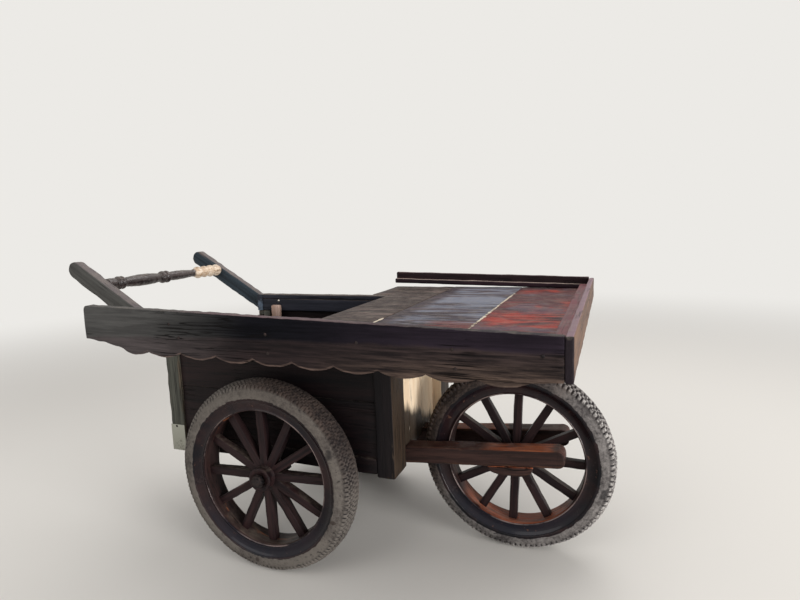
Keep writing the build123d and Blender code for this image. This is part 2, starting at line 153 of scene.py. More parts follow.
PALE = rgb(236, 234, 230)
SKY_LIGHT = 0.62
FLOOR_COLOUR = rgb(214, 210, 204)
FLOOR_HALF = 30.0
FLOOR_FADE = (2.2, 7.0)

world = bpy.data.worlds.new("surround")
bpy.context.scene.world = world
world.use_nodes = True
world.node_tree.nodes.clear()
surround = Shade(world.node_tree)


def seen_directly(shade):
    """1 for rays that the camera, a mirror or a glass sends out, and 0 for those that light things."""
    seen = [shade.node("ShaderNodeLightPath", None, None, name)
            for name in ("Is Camera Ray", "Is Glossy Ray", "Is Transmission Ray")]
    return seen[0].math("MAXIMUM", seen[0].math("MAXIMUM", seen[0], seen[1]), seen[2])


sky = surround.node("ShaderNodeBackground", None, {"Color": (1.0, 1.0, 1.0, 1.0), "Strength": SKY_LIGHT})
backdrop = surround.node("ShaderNodeBackground", None, {"Color": PALE, "Strength": 1.0})
either = surround.node("ShaderNodeMixShader", None, {0: seen_directly(surround), 1: sky, 2: backdrop})
surround.node("ShaderNodeOutputWorld", None, {"Surface": either})


def blank_material(name):
    """A new material with an empty node tree, and the shade that its nodes start from."""
    material = bpy.data.materials.new(name)
    material.use_nodes = True
    material.node_tree.nodes.clear()
    return material, Shade(material.node_tree)


floor_material, paving = blank_material("pale_floor")
away = paving.node("ShaderNodeVectorMath", {"operation": "LENGTH"}, {0: paving.place()}, "Value")
lit_floor = paving.node("ShaderNodeBsdfDiffuse", None, {"Color": FLOOR_COLOUR})
far_floor = paving.node("ShaderNodeEmission", None, {"Color": PALE, "Strength": 1.0})
fade = away.above(*FLOOR_FADE) * seen_directly(paving)
paving.node("ShaderNodeOutputMaterial", None, {
    "Surface": paving.node("ShaderNodeMixShader", None, {0: fade, 1: lit_floor, 2: far_floor})})
floor_mesh = bpy.data.meshes.new("floor")
floor_corners = FLOOR_HALF * np.array([(-1, -1, 0), (1, -1, 0), (1, 1, 0), (-1, 1, 0)])
floor_mesh.from_pydata(floor_corners, [], [(0, 1, 2, 3)])
floor_mesh.materials.append(floor_material)
floor = bpy.data.objects.new("floor", floor_mesh)
bpy.context.scene.collection.objects.link(floor)

# name, place, what it points at, side in metres, watts
LAMPS = (
    ("front_lamp", (7.5, -3.2, 1.6), (0.3, 0.0, 0.5), 3.2, 575.0),
    ("side_lamp", (-1.6, -4.0, 3.2), (0.0, 0.0, 0.4), 3.0, 50.0),
    ("top_lamp", (1.0, 1.6, 4.0), (0.0, 0.0, 0.6), 3.0, 80.0),
)
for name, place, target, side, watts in LAMPS:
    lamp = bpy.data.objects.new(name, bpy.data.lights.new(name, "AREA"))
    lamp.data.size = side
    lamp.data.energy = watts
    lamp.location = place
    aim = np.array(target) - np.array(place)
    lamp.rotation_mode = "QUATERNION"
    lamp.rotation_quaternion = Vector(aim).to_track_quat("-Z", "Y")
    bpy.context.scene.collection.objects.link(lamp)


# Posts of the box: four squared timbers, dark paint rubbed to a greenish grey at the rear, nailed to the
# joists above and running a little past the sills below.
SEED = 2660
random = np.random.default_rng(SEED)
CORNER_TURNS = np.radians([0.0, 30.0, 60.0, 90.0])
SIDE_SHARES = np.array([0.05, 0.2, 0.5, 0.8, 0.95])
END_SCALES = (0.3, 0.75)
LEAST_HALF = 0.0003
WEAR_REACH = 0.005
BOW_WAVE = 0.21
WEAR_WAVE = 0.03
GRAIN_STARTS = 9.0


def rounded_section():
    """Points round a squared timber, as four quarter turns joined by straight sides.

    Each row holds the corner that a point belongs to, from -1 to 1 each way, and its outward
    direction, so that a point is corner * (half size - radius) + direction * radius.
    """
    corners = np.array([(1, 1), (-1, 1), (-1, -1), (1, -1)], float)
    rows = []
    for quarter, corner in enumerate(corners):
        turns = CORNER_TURNS + quarter * math.pi / 2
        outward = np.column_stack([np.cos(turns), np.sin(turns)])
        rows.append(np.column_stack([np.tile(corner, (len(turns), 1)), outward]))
        following = corners[(quarter + 1) % 4]
        side = corner + SIDE_SHARES[:, None] * (following - corner)
        rows.append(np.column_stack([side, np.tile(outward[-1], (len(side), 1))]))
    return np.vstack(rows)


def waves(points, size, seed):
    """Smooth unevenness from about -1 to 1: a sum of sine waves in random directions, near one size."""
    draw = np.random.default_rng(seed)
    directions = draw.normal(size=(6, 3))
    directions /= np.linalg.norm(directions, axis=1)[:, None]
    lengths = size * draw.uniform(0.6, 1.6, 6)
    angles = points @ (directions * 2 * math.pi / lengths[:, None]).T + draw.uniform(0, 2 * math.pi, 6)
    return np.sin(angles).sum(axis=-1) / 3


def skin(points, values, ring=False):
    """Faces over a grid of points that closes on itself along its second way.

    In a ring it also closes along its first way, and otherwise a pole closes each end. The faces are
    turned round where the volume that they enclose comes out negative, so that they point outwards.
    """
    rows, columns = points.shape[:2]
    index = np.arange(rows * columns).reshape(rows, columns)
    below = index if ring else index[:-1]
    above = np.roll(index, -1, axis=0) if ring else index[1:]
    quads = np.stack([below, np.roll(below, -1, axis=1), np.roll(above, -1, axis=1), above], axis=-1)
    quads = quads.reshape(-1, 4)
    flat = points.reshape(-1, 3)
    levels = {key: value.reshape(rows * columns, -1) for key, value in values.items()}
    caps = np.zeros((0, 3), int)
    if not ring:
        flat = np.vstack([flat, points[[0, -1]].mean(axis=1)])
        levels = {key: np.vstack([value, value[index[[0, -1]]].mean(axis=1)])
                  for key, value in levels.items()}
        pole = np.full(columns, rows * columns)
        caps = np.vstack([np.column_stack([np.roll(index[0], -1), index[0], pole]),
                          np.column_stack([index[-1], np.roll(index[-1], -1), pole + 1])])
    triangles = np.vstack([quads[:, :3], quads[:, [0, 2, 3]], caps])
    a, b, c = (flat[triangles[:, corner]] - flat.mean(axis=0) for corner in range(3))
    if np.einsum("ij,ij->", a, np.cross(b, c)) < 0:
        quads = quads[:, ::-1]
        caps = caps[:, ::-1]
    return flat, quads.tolist() + caps.tolist(), levels


def carried(path, across, up, half_width, half_depth, radius=0.003, bow=0.0004, wear=0.0008):
    """A timber: the rounded section carried along a path, with its half sizes given at each step.

    Its ends are rounded by drawing the section in, and closed by two smaller sections and a pole.
    bow is how far waves push its faces, and wear how far more they push its corners.
    """
    path = np.asarray(path, float)
    across = np.asarray(across, float)
    up = np.asarray(up, float)
    steps = len(path)
    half_width = np.broadcast_to(half_width, steps)
    half_depth = np.broadcast_to(half_depth, steps)
    along = np.concatenate([[0.0], np.cumsum(np.linalg.norm(np.diff(path, axis=0), axis=1))])
    from_end = np.minimum(along, along[-1] - along)
    short = np.clip(radius - from_end, 0.0, radius)
    inset = radius - np.sqrt(radius ** 2 - short ** 2)
    order = np.concatenate([[0, 0], np.arange(steps), [steps - 1, steps - 1]])
    scale = np.concatenate([END_SCALES, np.ones(steps), END_SCALES[::-1]])[:, None]
    section = rounded_section()
    wide = np.maximum((half_width - inset)[order], LEAST_HALF)[:, None]
    deep = np.maximum((half_depth - inset)[order], LEAST_HALF)[:, None]
    round_off = np.minimum(radius, 0.9 * np.minimum(wide, deep))
    side = (section[:, 0] * (wide - round_off) + section[:, 2] * round_off) * scale
    height = (section[:, 1] * (deep - round_off) + section[:, 3] * round_off) * scale
    to_corner = (1 - abs(section[:, 0])) * (wide - round_off) + (1 - abs(section[:, 1])) * (deep - round_off)
    to_end = np.where(scale < 1, (1 - scale) * np.minimum(wide, deep), from_end[order][:, None])
    edge = np.where(scale < 1, to_end, np.minimum(to_corner, to_end))
    points = path[order][:, None, :] + side[..., None] * across + height[..., None] * up
    axis = (path[-1] - path[0]) / np.linalg.norm(path[-1] - path[0])
    outward = section[:, 2, None] * across + section[:, 3, None] * up
    end_way = np.zeros((steps + 4, 1, 1))
    end_way[:2] = -1
    end_way[-2:] = 1
    face = np.where(end_way == 0, outward[None], end_way * axis)
    seed = int(random.integers(1 << 30))
    corner_share = np.exp(-edge / WEAR_REACH)
    worn_off = wear * corner_share * (waves(points, WEAR_WAVE, seed + 1) - 0.7)
    push = bow * waves(points, BOW_WAVE, seed) + worn_off
    points = points + face * push[..., None]
    start = random.uniform(0.0, GRAIN_STARTS, 3)
    grain = np.stack(np.broadcast_arrays(along[order][:, None], side, height), axis=-1) + start
    return skin(points, {"grain": grain, "edge": edge, "face": face})


def stations(length, radius=0.003, spacing=0.03):
    """Distances along a timber: close together at its rounded ends and even between them."""
    ends = np.array([0.0, 0.25, 1.0]) * radius
    middle = np.linspace(radius, length - radius, max(3, int(length / spacing)))
    return np.unique(np.round(np.concatenate([ends, middle, length - ends]), 7))


def squared(low, high, axis, radius=0.003, **look):
    """A straight squared timber that fills the box between two corners, with its grain along one axis."""
    low = np.asarray(low, float)
    high = np.asarray(high, float)
    across = np.eye(3)[(axis + 1) % 3]
    up = np.eye(3)[(axis + 2) % 3]
    along = stations(high[axis] - low[axis], radius)
    path = (low + high) / 2 + (low[axis] - (low + high)[axis] / 2 + along)[:, None] * np.eye(3)[axis]
    half = (high - low) / 2
    return carried(path, across, up, half[(axis + 1) % 3], half[(axis + 2) % 3], radius, **look)


def add_piece(name, shapes, material, slot, body, *nodes):
    """Makes one object of one or more closed shapes, and ties it to the frame."""
    starts = np.cumsum([0] + [len(shape[0]) for shape in shapes])
    faces = [[corner + int(start) for corner in face]
             for start, shape in zip(starts, shapes) for face in shape[1]]
    mesh = bpy.data.meshes.new(name)
    mesh.from_pydata(np.vstack([shape[0] for shape in shapes]), [], faces)
    for key in shapes[0][2]:
        level = np.vstack([shape[2][key] for shape in shapes]).astype(np.float32)
        wide = level.shape[1] == 3
        attribute = mesh.attributes.new(key, "FLOAT_VECTOR" if wide else "FLOAT", "POINT")
        attribute.data.foreach_set("vector" if wide else "value", level.ravel())
    mesh.polygons.foreach_set("use_smooth", np.ones(len(mesh.polygons), bool))
    mesh.materials.append(material)
    piece = bpy.data.objects.new(name, mesh)
    bpy.context.scene.collection.objects.link(piece)
    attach(piece, body)
    if nodes:
        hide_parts(*nodes)


def add_timber(name, node, axis, material, slot, **look):
    """Adds one squared timber of the cart that fills the box of its node."""
    add_piece(name, [squared(*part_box(node), axis, **look)], material, slot, "cart", node)


def finished(material, shade, colour, roughness, height=None, depth=0.001, metallic=0.0, coat=0.0, shine=0.5):
    """Joins a colour, a roughness and a height to the material's surface."""
    sockets = {"Base Color": colour, "Roughness": roughness, "Metallic": metallic, "Coat Weight": coat,
               "Specular IOR Level": shine}
    if height is not None:
        sockets["Normal"] = shade.node("ShaderNodeBump", None, {"Height": height, "Distance": depth})
    surface = shade.node("ShaderNodeBsdfPrincipled", None, sockets)
    shade.node("ShaderNodeOutputMaterial", None, {"Surface": surface})
    return material


def darker(colour, share):
    """A colour with its light cut to a share."""
    return tuple(share * part for part in colour[:3]) + (1.0,)


# Detail of the timber per metre: along the grain, and each way across it
FIBRES_PER_METRE = (9.0, 150.0, 150.0)
STREAKS_PER_METRE = (2.4, 42.0, 42.0)
BLOTCHES_PER_METRE = (5.0, 13.0, 13.0)
SPLITS_PER_METRE = (1.8, 55.0, 55.0)


def aged_timber(name, paint, shadow, bare, top=None, worn=0.45, rubbed=0.5, dusty=0.25, rough=0.5, shine=0.12,
                repaint=None):
    """Painted timber that has weathered: streaked paint, worn through to the wood at its edges.

    paint and shadow are the two tones of the paint, bare the wood under it and top the tone of
    faces that look up, which is painted light from above. worn, rubbed and dusty say how much wood shows on
    the faces, how much at the edges, and how much dust lies on what looks up, and rough and shine how rough
    the paint is and how much it mirrors. repaint, if given, changes the paint's colour before it wears.
    """
    material, shade = blank_material(name)
    grain = shade.vector("grain")
    looks_up = shade.vector("face").part(2).above(0.5, 0.9)
    fibre = grain.stretched(FIBRES_PER_METRE).noise(1.0, 6.0, 0.68)
    streak = grain.stretched(STREAKS_PER_METRE).noise(1.0, 6.0, 0.66, 0.4)
    blotch = grain.stretched(BLOTCHES_PER_METRE).noise(1.0, 7.0, 0.66, 0.8)
    split = grain.stretched(SPLITS_PER_METRE).noise(1.0, 3.0, 0.5)
    crack = 1 - split.distance_from(0.5).above(0.004, 0.014)
    crack = crack * grain.noise(5.0, 2.0).above(0.46, 0.58)
    colour = (0.6 * streak + 0.4 * fibre).above(0.38, 0.62).between(shadow, paint)
    # Faces that look up take the top tone: painted light from above
    if top is not None:
        colour = (looks_up * (0.6 * blotch + 0.4 * fibre).above(0.3, 0.5)).between(colour, top)
    if repaint is not None:
        colour = repaint(shade, colour, fibre, streak, blotch)
    at_edge = 1 - shade.number("edge").above(0.0, 0.010)
    wear = 0.55 * blotch + 0.45 * fibre + rubbed * 0.26 * at_edge
    wear = wear.above(0.72 - 0.3 * worn, 0.80 - 0.3 * worn)
    wood = (0.5 * fibre + 0.5 * streak).above(0.36, 0.64).between(darker(bare, 0.35), bare)
    colour = (wear * 0.85).between(colour, wood)
    dust = looks_up * dusty * grain.noise(30.0, 5.0, 0.7).above(0.35, 0.75)
    colour = dust.between(colour, rgb(150, 138, 124))
    colour = (crack * 0.85).between(colour, rgb(12, 9, 9))
    roughness = rough + 0.3 * wear + 0.25 * fibre - 0.12
    height = 0.7 * fibre + 0.4 * blotch - 0.3 * wear - 1.2 * crack
    return finished(material, shade, colour, roughness, height, depth=0.0016, shine=shine)


axle_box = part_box("tyre_rear_right")
REAR_AXLE_X = (axle_box[0].x + axle_box[1].x) / 2
AXLE_Z = (axle_box[0].z + axle_box[1].z) / 2
joist_box = {"right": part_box("joist_right"), "left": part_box("joist_left")}
SIDES = {"right": -1, "left": 1}


def x_at(distance):
    """Place along the cart from a distance ahead of the rear axle."""
    return REAR_AXLE_X + distance


def mirrored(side, near, far):
    """Lowest and highest of two distances from the middle, on one side of the cart."""
    return sorted((side * near, side * far))


def on_both_sides(inner, outer, low, high, axis, **look):
    """Two squared timbers between the same distances from the middle, one on the right and one left."""
    pair = []
    for side in SIDES.values():
        y0, y1 = mirrored(side, inner, outer)
        pair.append(squared((low.x, y0, low.z), (high.x, y1, high.z), axis, **look))
    return pair


JOIST_OUTER = joist_box["left"][1].y
JOIST_INNER = joist_box["left"][0].y
POST_TOP = joist_box["left"][0].z
post_boxes = {end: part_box(f"posts_{end}") for end in ("rear", "front")}
FRONT_POST_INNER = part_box("box_front")[1].y

# How much the line of the mud and painted shade falls for each metre across, and between what heights it and
# the runs give out
MUD_AND_SHADE_FALL = 0.44
MUD_AND_SHADE_TOP = (0.405, 0.45)
RUNS_END = (0.45, 0.56)


def mud_and_shade_below(shade, colour, fibre, streak, blotch):
    """Dark brown runs down pale wood, and mud with painted shade below a line that falls towards the cart's
    left.
    """
    place = shade.place()
    height = place.part(2) + MUD_AND_SHADE_FALL * place.part(1)
    runs = (0.6 * streak + 0.4 * fibre).above(0.54, 0.62) * (1 - height.above(*RUNS_END)) * 0.8
    colour = runs.between(colour, rgb(104, 68, 44))
    # Dark below the line: mud, and painted shade where the boards' lower part lies in shadow
    mud = 1 - (height + 0.05 * (streak - 0.5) + 0.07 * (blotch - 0.5)).above(*MUD_AND_SHADE_TOP)
    return (mud * 0.97).between(colour, fibre.above(0.3, 0.7).between(rgb(18, 13, 11), rgb(44, 33, 26)))


def bare_front(shade, colour, fibre, streak, blotch):
    """No paint on two faces: streaked brown wood where they look forward, pale inside the left post."""
    face = shade.vector("face")
    forward = face.part(0).above(0.5, 0.9)
    inner = (0 - face.part(1)).above(0.5, 0.9) * shade.place().part(1).above(0.0, 0.01)
    brown = (0.6 * streak + 0.4 * fibre).above(0.36, 0.64).between(rgb(24, 20, 18), rgb(66, 53, 42))
    pale = mud_and_shade_below(shade, fibre.between(rgb(224, 196, 162), rgb(246, 226, 198)), fibre, streak, blotch)
    return inner.between(forward.between(colour, brown), pale)


rear_post_paint = aged_timber("grey_post_paint", rgb(86, 86, 78), rgb(58, 58, 53), rgb(104, 92, 78), worn=0.4)
front_post_paint = aged_timber("dark_post_paint", rgb(27, 22, 23), rgb(16, 14, 16), rgb(104, 88, 72),
                               worn=0.15, rubbed=0.5, repaint=bare_front)
for end, inner, finish in (("rear", JOIST_INNER, rear_post_paint),
                           ("front", FRONT_POST_INNER, front_post_paint)):
    posts = on_both_sides(inner, JOIST_OUTER, *post_boxes[end], 2, radius=0.004)
    add_piece(f"box_posts_{end}", posts, finish, "timber_dark", "cart", f"posts_{end}")

# Sills and side panels of the box: squared sills from post to post, and wide boards above them, painted a
# maroon that is nearly black and scratched along the grain, and darker still towards the front with painted
# shade.
PAINTED_SHADE_FROM = (-0.42, 0.05)


def painted_shade_forward(shade, colour, fibre, streak, blotch):
    """The maroon taken to black towards the front: painted shade, for the shadow of the deck overhead."""
    length = shade.place().part(0)
    # Near-black here is painted shade under the deck
    black = streak.above(0.35, 0.65).between(rgb(9, 7, 9), rgb(23, 15, 16))
    return (length + 0.2 * (blotch - 0.5)).above(*PAINTED_SHADE_FROM).between(colour, black)


panel_paint = aged_timber("maroon_panel_paint", rgb(38, 27, 27), rgb(20, 15, 16), rgb(58, 44, 41), worn=0.15,
                          repaint=painted_shade_forward)
sills = on_both_sides(JOIST_INNER, JOIST_OUTER, *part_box("box_sills"), 0, radius=0.004)
add_piece("box_sill_pair", sills, panel_paint, "timber_dark", "cart", "box_sills")

SIDE_BOARDS = 2
SIDE_BOARD_THICKNESS = 0.010
BOARD_GAP = 0.0006


def board_edges(low, high, count):
    """Where each of a number of equal boards starts and ends between two places, with a gap after it."""
    edges = [low + (high - low) * share / count for share in range(count + 1)]
    return [(start, end - BOARD_GAP) for start, end in zip(edges, edges[1:])]


low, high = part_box("box_sides")
boards = []
for side in SIDES.values():
    y0, y1 = mirrored(side, high.y - SIDE_BOARD_THICKNESS, high.y)
    for z0, z1 in board_edges(low.z, high.z, SIDE_BOARDS):
        boards.append(squared((low.x, y0, z0), (high.x, y1, z1), 0, radius=0.0012))
add_piece("box_side_boards", boards, panel_paint, "timber_dark", "cart", "box_sides")

# Ends and floor of the box: upright boards in front, bare and sunburnt with old paint runs and dark below a
# sloping line with mud and painted shade, boards across at the rear, and a rough plank floor on cross rails.
FRONT_BOARDS = 3
REAR_BOARDS = 3
FLOOR_PLANKS = 5
pale_wood = aged_timber("pale_front_wood", rgb(246, 226, 198), rgb(224, 196, 162), rgb(250, 234, 212),
                        worn=0.2, repaint=mud_and_shade_below)
low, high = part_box("box_front")
boards = [squared((low.x, y0, low.z), (high.x, y1, high.z), 2, radius=0.002)
          for y0, y1 in board_edges(low.y, high.y, FRONT_BOARDS)]
add_piece("box_front_boards", boards, pale_wood, "timber_pale", "cart", "box_front")

low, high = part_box("box_rear")
boards = [squared((low.x, low.y, z0), (high.x, high.y, z1), 1, radius=0.002)
          for z0, z1 in board_edges(low.z, high.z, REAR_BOARDS)]
add_piece("box_rear_boards", boards, panel_paint, "timber_dark", "cart", "box_rear")

rough_wood = aged_timber("rough_inner_wood", rgb(70, 54, 44), rgb(44, 34, 30), rgb(104, 84, 66), worn=0.6)
low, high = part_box("box_floor")
planks = []
for row, (y0, y1) in enumerate(board_edges(low.y, high.y, FLOOR_PLANKS)):
    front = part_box("box_sides")[1].x if row in (0, FLOOR_PLANKS - 1) else high.x
    planks.append(squared((low.x, y0, low.z), (front, y1, high.z), 0, radius=0.002))
add_piece("box_floor_planks", planks, rough_wood, "timber_dark", "cart", "box_floor")

CROSS_RAIL_WIDTH = 0.050
CROSS_RAIL_REARS = (post_boxes["rear"][1].x, x_at(-0.200), x_at(0.060))
low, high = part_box("cross_rails")
rails = [squared((rear, low.y, low.z), (rear + CROSS_RAIL_WIDTH, high.y, high.z), 1, radius=0.003)
         for rear in CROSS_RAIL_REARS]
add_piece("box_cross_rails", rails, rough_wood, "timber_dark", "cart", "cross_rails")

# Fork: two stout brown timbers that rise a little from under the floor to both sides of the front wheel,
# with rounded noses, worn reddish on top, each with a block under it that holds the axle.
front_tyre_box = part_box("tyre_front")
FRONT_AXLE_X = (front_tyre_box[0].x + front_tyre_box[1].x) / 2


def worn_top(orange_rear, orange_front):
    """Gives a repaint for a fork arm: its top is worn to orange wood over a length, and else dark red."""
    def repaint(shade, colour, fibre, streak, blotch):
        looks_up = shade.vector("face").part(2).above(0.5, 0.9)
        length = shade.place().part(0) + 0.1 * (blotch - 0.5)
        ahead = length.above(orange_front - 0.03, orange_front)
        worn_part = length.above(orange_rear, orange_rear + 0.06) * (1 - ahead)
        red = (0.5 * streak + 0.5 * fibre).above(0.35, 0.65).between(rgb(46, 26, 24), rgb(84, 52, 46))
        orange = (0.5 * streak + 0.5 * fibre).above(0.36, 0.6).between(rgb(108, 52, 34), rgb(180, 98, 58))
        smudge = (blotch.above(0.54, 0.62) * 0.7).between(orange, rgb(70, 38, 32))
        return looks_up.between(colour, worn_part.between(red, smudge))
    return repaint


ARM_NOSE_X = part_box("fork_arm_right")[1].x
FORK_BROWNS = (rgb(60, 42, 38), rgb(34, 24, 23), rgb(92, 66, 54))
fork_woods = {
    "right": aged_timber("brown_fork_wood", *FORK_BROWNS, worn=0.3, dusty=0.2,
                         repaint=worn_top(FRONT_AXLE_X - 0.10, ARM_NOSE_X - 0.02)),
    "left": aged_timber("left_fork_wood", *FORK_BROWNS, worn=0.3, dusty=0.3,
                        repaint=worn_top(FRONT_AXLE_X - 0.30, FRONT_AXLE_X - 0.02)),
}
# Rise of the arms for each metre forward
ARM_SLOPE = 0.0843
ARM_DEPTH = 0.054
ARM_NOSE = 0.020
NOSE_STEPS = ARM_NOSE * np.array([0.0, 0.05, 0.15, 0.3, 0.5, 0.75, 1.0])
for name, wood in fork_woods.items():
    low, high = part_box(f"fork_arm_{name}")
    length = (high.x - low.x) * math.hypot(1, ARM_SLOPE)
    heading = np.array([1.0, 0.0, ARM_SLOPE]) / math.hypot(1, ARM_SLOPE)
    upward = np.array([-ARM_SLOPE, 0.0, 1.0]) / math.hypot(1, ARM_SLOPE)
    along = np.unique(np.concatenate([stations(length - ARM_NOSE), length - NOSE_STEPS]))
    from_nose = np.clip(ARM_NOSE - (length - along), 0.0, ARM_NOSE)
    half_depth = ARM_DEPTH / 2 - (ARM_NOSE - np.sqrt(ARM_NOSE ** 2 - from_nose ** 2))
    rear_z = high.z - ARM_DEPTH / 2 - ARM_SLOPE * (high.x - low.x)
    rear_middle = np.array([low.x, (low.y + high.y) / 2, rear_z])
    arm = carried(rear_middle + along[:, None] * heading, (0, 1, 0), upward, (high.y - low.y) / 2, half_depth,
                  radius=0.005)
    add_piece(f"fork_timber_{name}", [arm], wood, "timber_fork", "cart", f"fork_arm_{name}")


def between_edges(x, y0, y1, under, top, radius):
    """A timber along the cart, with its under and top edges given at each step along it."""
    path = np.column_stack([x, np.full(len(x), (y0 + y1) / 2), (under + top) / 2])
    return carried(path, (0, 1, 0), (0, 0, 1), (y1 - y0) / 2, (top - under) / 2, radius)


# The blocks stand a little wider than the arms, thin at both ends and deepest under the axle
BLOCK_EXTRA_WIDTH = 0.004
BLOCK_END_DEPTH = 0.004
blocks = []
arm_low, arm_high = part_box("fork_arm_left")
low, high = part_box("axle_blocks")
for side in SIDES.values():
    y0, y1 = mirrored(side, arm_low.y, arm_high.y + BLOCK_EXTRA_WIDTH)
    along = stations(high.x - low.x, spacing=0.004)
    top = high.z - ARM_SLOPE * (high.x - low.x - along)
    from_axle = np.clip(2 * along / along[-1] - 1, -1, 1)
    shallow = top - BLOCK_END_DEPTH
    under = shallow - (shallow - low.z) * np.sqrt(1 - 0.96 * abs(from_axle) ** 3)
    blocks.append(between_edges(low.x + along, y0, y1, under, top, 0.005))
add_piece("fork_axle_blocks", blocks, fork_woods["right"], "timber_fork", "cart", "axle_blocks")

add_timber("fork_cross_rail", "fork_rail", 1, rough_wood, "timber_fork")


# Axles: plain steel, a round bar through the fork blocks in front, and a square bar with turned ends and
# nuts at the rear, held up under the sills by two bent clamps. All are brown with rust and old grease.
# What a turned surface, which has no corner to wear, gives as its distance from one
FAR_FROM_EDGE = 0.02


def turned_bar(centre, along, radius, segments=48, lumps=0.0, seed=0):
    """A bar turned about a line across the cart, with waves as high as lumps all over it.

    radius is a number for each step along the bar, or a row of numbers that goes round it there, and
    a point lies at radius * (sine, cosine) of its turn, forward and up from the line.
    """
    turns = np.linspace(0, 2 * math.pi, segments, endpoint=False)
    along = np.asarray(along, float)[:, None]
    radius = np.asarray(radius, float).reshape(len(along), -1) * np.ones(segments)
    outward = np.stack([np.sin(turns), np.zeros(segments), np.cos(turns)], axis=-1)
    line = np.array(centre) + along[..., None] * np.array([0.0, 1.0, 0.0])
    points = line + radius[..., None] * outward
    points = points + lumps * waves(points, 0.02, seed)[..., None] * outward
    grain = np.stack(np.broadcast_arrays(along, radius * np.sin(turns), radius * np.cos(turns)), axis=-1)
    face = np.broadcast_to(outward, points.shape)
    return skin(points, {"grain": grain, "edge": np.full(points.shape[:2], FAR_FROM_EDGE), "face": face})


def old_steel(name, clean, rust, rusty=0.5, rough=0.45):
    """Steel with a brown skin of rust that is thicker in patches, and speckled where it is thin."""
    material, shade = blank_material(name)
    place = shade.place()
    patch = place.noise(14.0, 6.0, 0.6)
    speck = place.noise(160.0, 3.0, 0.7)
    cover = (0.65 * patch + 0.35 * speck).above(0.62 - 0.3 * rusty, 0.72 - 0.3 * rusty)
    colour = cover.between(clean, speck.above(0.3, 0.7).between(darker(rust, 0.5), rust))
    return finished(material, shade, colour, rough + 0.35 * cover, patch + 0.4 * speck, depth=0.0006,
                    metallic=0.9 - 0.7 * cover)


axle_steel = old_steel("rusty_axle_steel", rgb(36, 33, 34), rgb(44, 31, 28), rusty=0.75, rough=0.6)
low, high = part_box("axle_front")
AXLE_RADIUS = (high.x - low.x) / 2
END_ROUND = 0.002
END_SHOWS = 0.001
reach = high.y + END_SHOWS
along = np.array([-reach, -reach + END_ROUND, reach - END_ROUND, reach])
radii = AXLE_RADIUS - np.array([END_ROUND, 0.0, 0.0, END_ROUND])
add_piece("fork_axle", [turned_bar((FRONT_AXLE_X, 0, AXLE_Z), along, radii)], axle_steel, "steel", "cart",
          "axle_front")

low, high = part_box("axle_rear")
AXLE_BAR = high.z - AXLE_Z
NUT_THICKNESS = 0.014
AXLE_STUB = 0.005
TURNED_END = 0.097
TURNED_OVERLAP = 0.01
SHOULDER = high.y - AXLE_STUB - NUT_THICKNESS - TURNED_END
axle = [squared((low.x, -SHOULDER, low.z), (high.x, SHOULDER, high.z), 1, radius=0.002)]
for side in SIDES.values():
    ends = side * np.array([SHOULDER - TURNED_OVERLAP, high.y - END_ROUND, high.y])
    axle.append(turned_bar((REAR_AXLE_X, 0, AXLE_Z), ends, AXLE_RADIUS - np.array([0.0, 0.0, END_ROUND])))
add_piece("rear_axle_bar", axle, axle_steel, "steel", "cart", "axle_rear")

NUT_RADIUS = 0.020
NUT_CORNERS = 6
NUT_BEVEL = 0.002
NUT_SEGMENTS = 96
turns = np.linspace(0, 2 * math.pi, NUT_SEGMENTS, endpoint=False)
flat_way = (turns + math.pi / NUT_CORNERS) % (2 * math.pi / NUT_CORNERS) - math.pi / NUT_CORNERS
hexagon = NUT_RADIUS * math.cos(math.pi / NUT_CORNERS) / np.cos(flat_way)
depth = np.array([0.0, 0.0, 0.0015, 0.5, 1.0, 1.0]) * NUT_THICKNESS
depth[4] -= NUT_BEVEL
limit = NUT_RADIUS * np.array([0.66, 0.92, 1.0, 1.0, 1.0, 0.88])
radius = np.minimum(hexagon, limit[:, None])
inner_face = high.y - AXLE_STUB - NUT_THICKNESS
nuts = [turned_bar((REAR_AXLE_X, 0.0, AXLE_Z), side * (inner_face + depth), radius, NUT_SEGMENTS)
        for side in SIDES.values()]
add_piece("rear_axle_nuts", nuts, axle_steel, "steel", "cart", "axle_nuts")

CLAMP_WIDTH = 0.040
CLAMP_THICKNESS = 0.005
BENT_STEEL = {"radius": 0.0015, "bow": 0.0, "wear": 0.0}
outer = AXLE_BAR + CLAMP_THICKNESS
low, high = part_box("axle_clamps")
clamps = []
for side in SIDES.values():
    middle = side * (JOIST_INNER + JOIST_OUTER) / 2
    y0 = middle - CLAMP_WIDTH / 2
    y1 = middle + CLAMP_WIDTH / 2
    # Under the bar, then up each side of it and out along the sill
    strips = [(REAR_AXLE_X - outer, REAR_AXLE_X + outer, low.z, low.z + CLAMP_THICKNESS)]
    for way, foot_end in ((-1, low.x), (1, high.x)):
        strips.append((*sorted((REAR_AXLE_X + way * AXLE_BAR, REAR_AXLE_X + way * outer)), low.z, high.z))
        strips.append((*sorted((REAR_AXLE_X + way * outer, foot_end)), high.z - CLAMP_THICKNESS, high.z))
    clamps += [squared((x0, y0, z0), (x1, y1, z1), 1, **BENT_STEEL) for x0, x1, z0, z1 in strips]
add_piece("rear_axle_clamps", clamps, axle_steel, "steel", "cart", "axle_clamps")

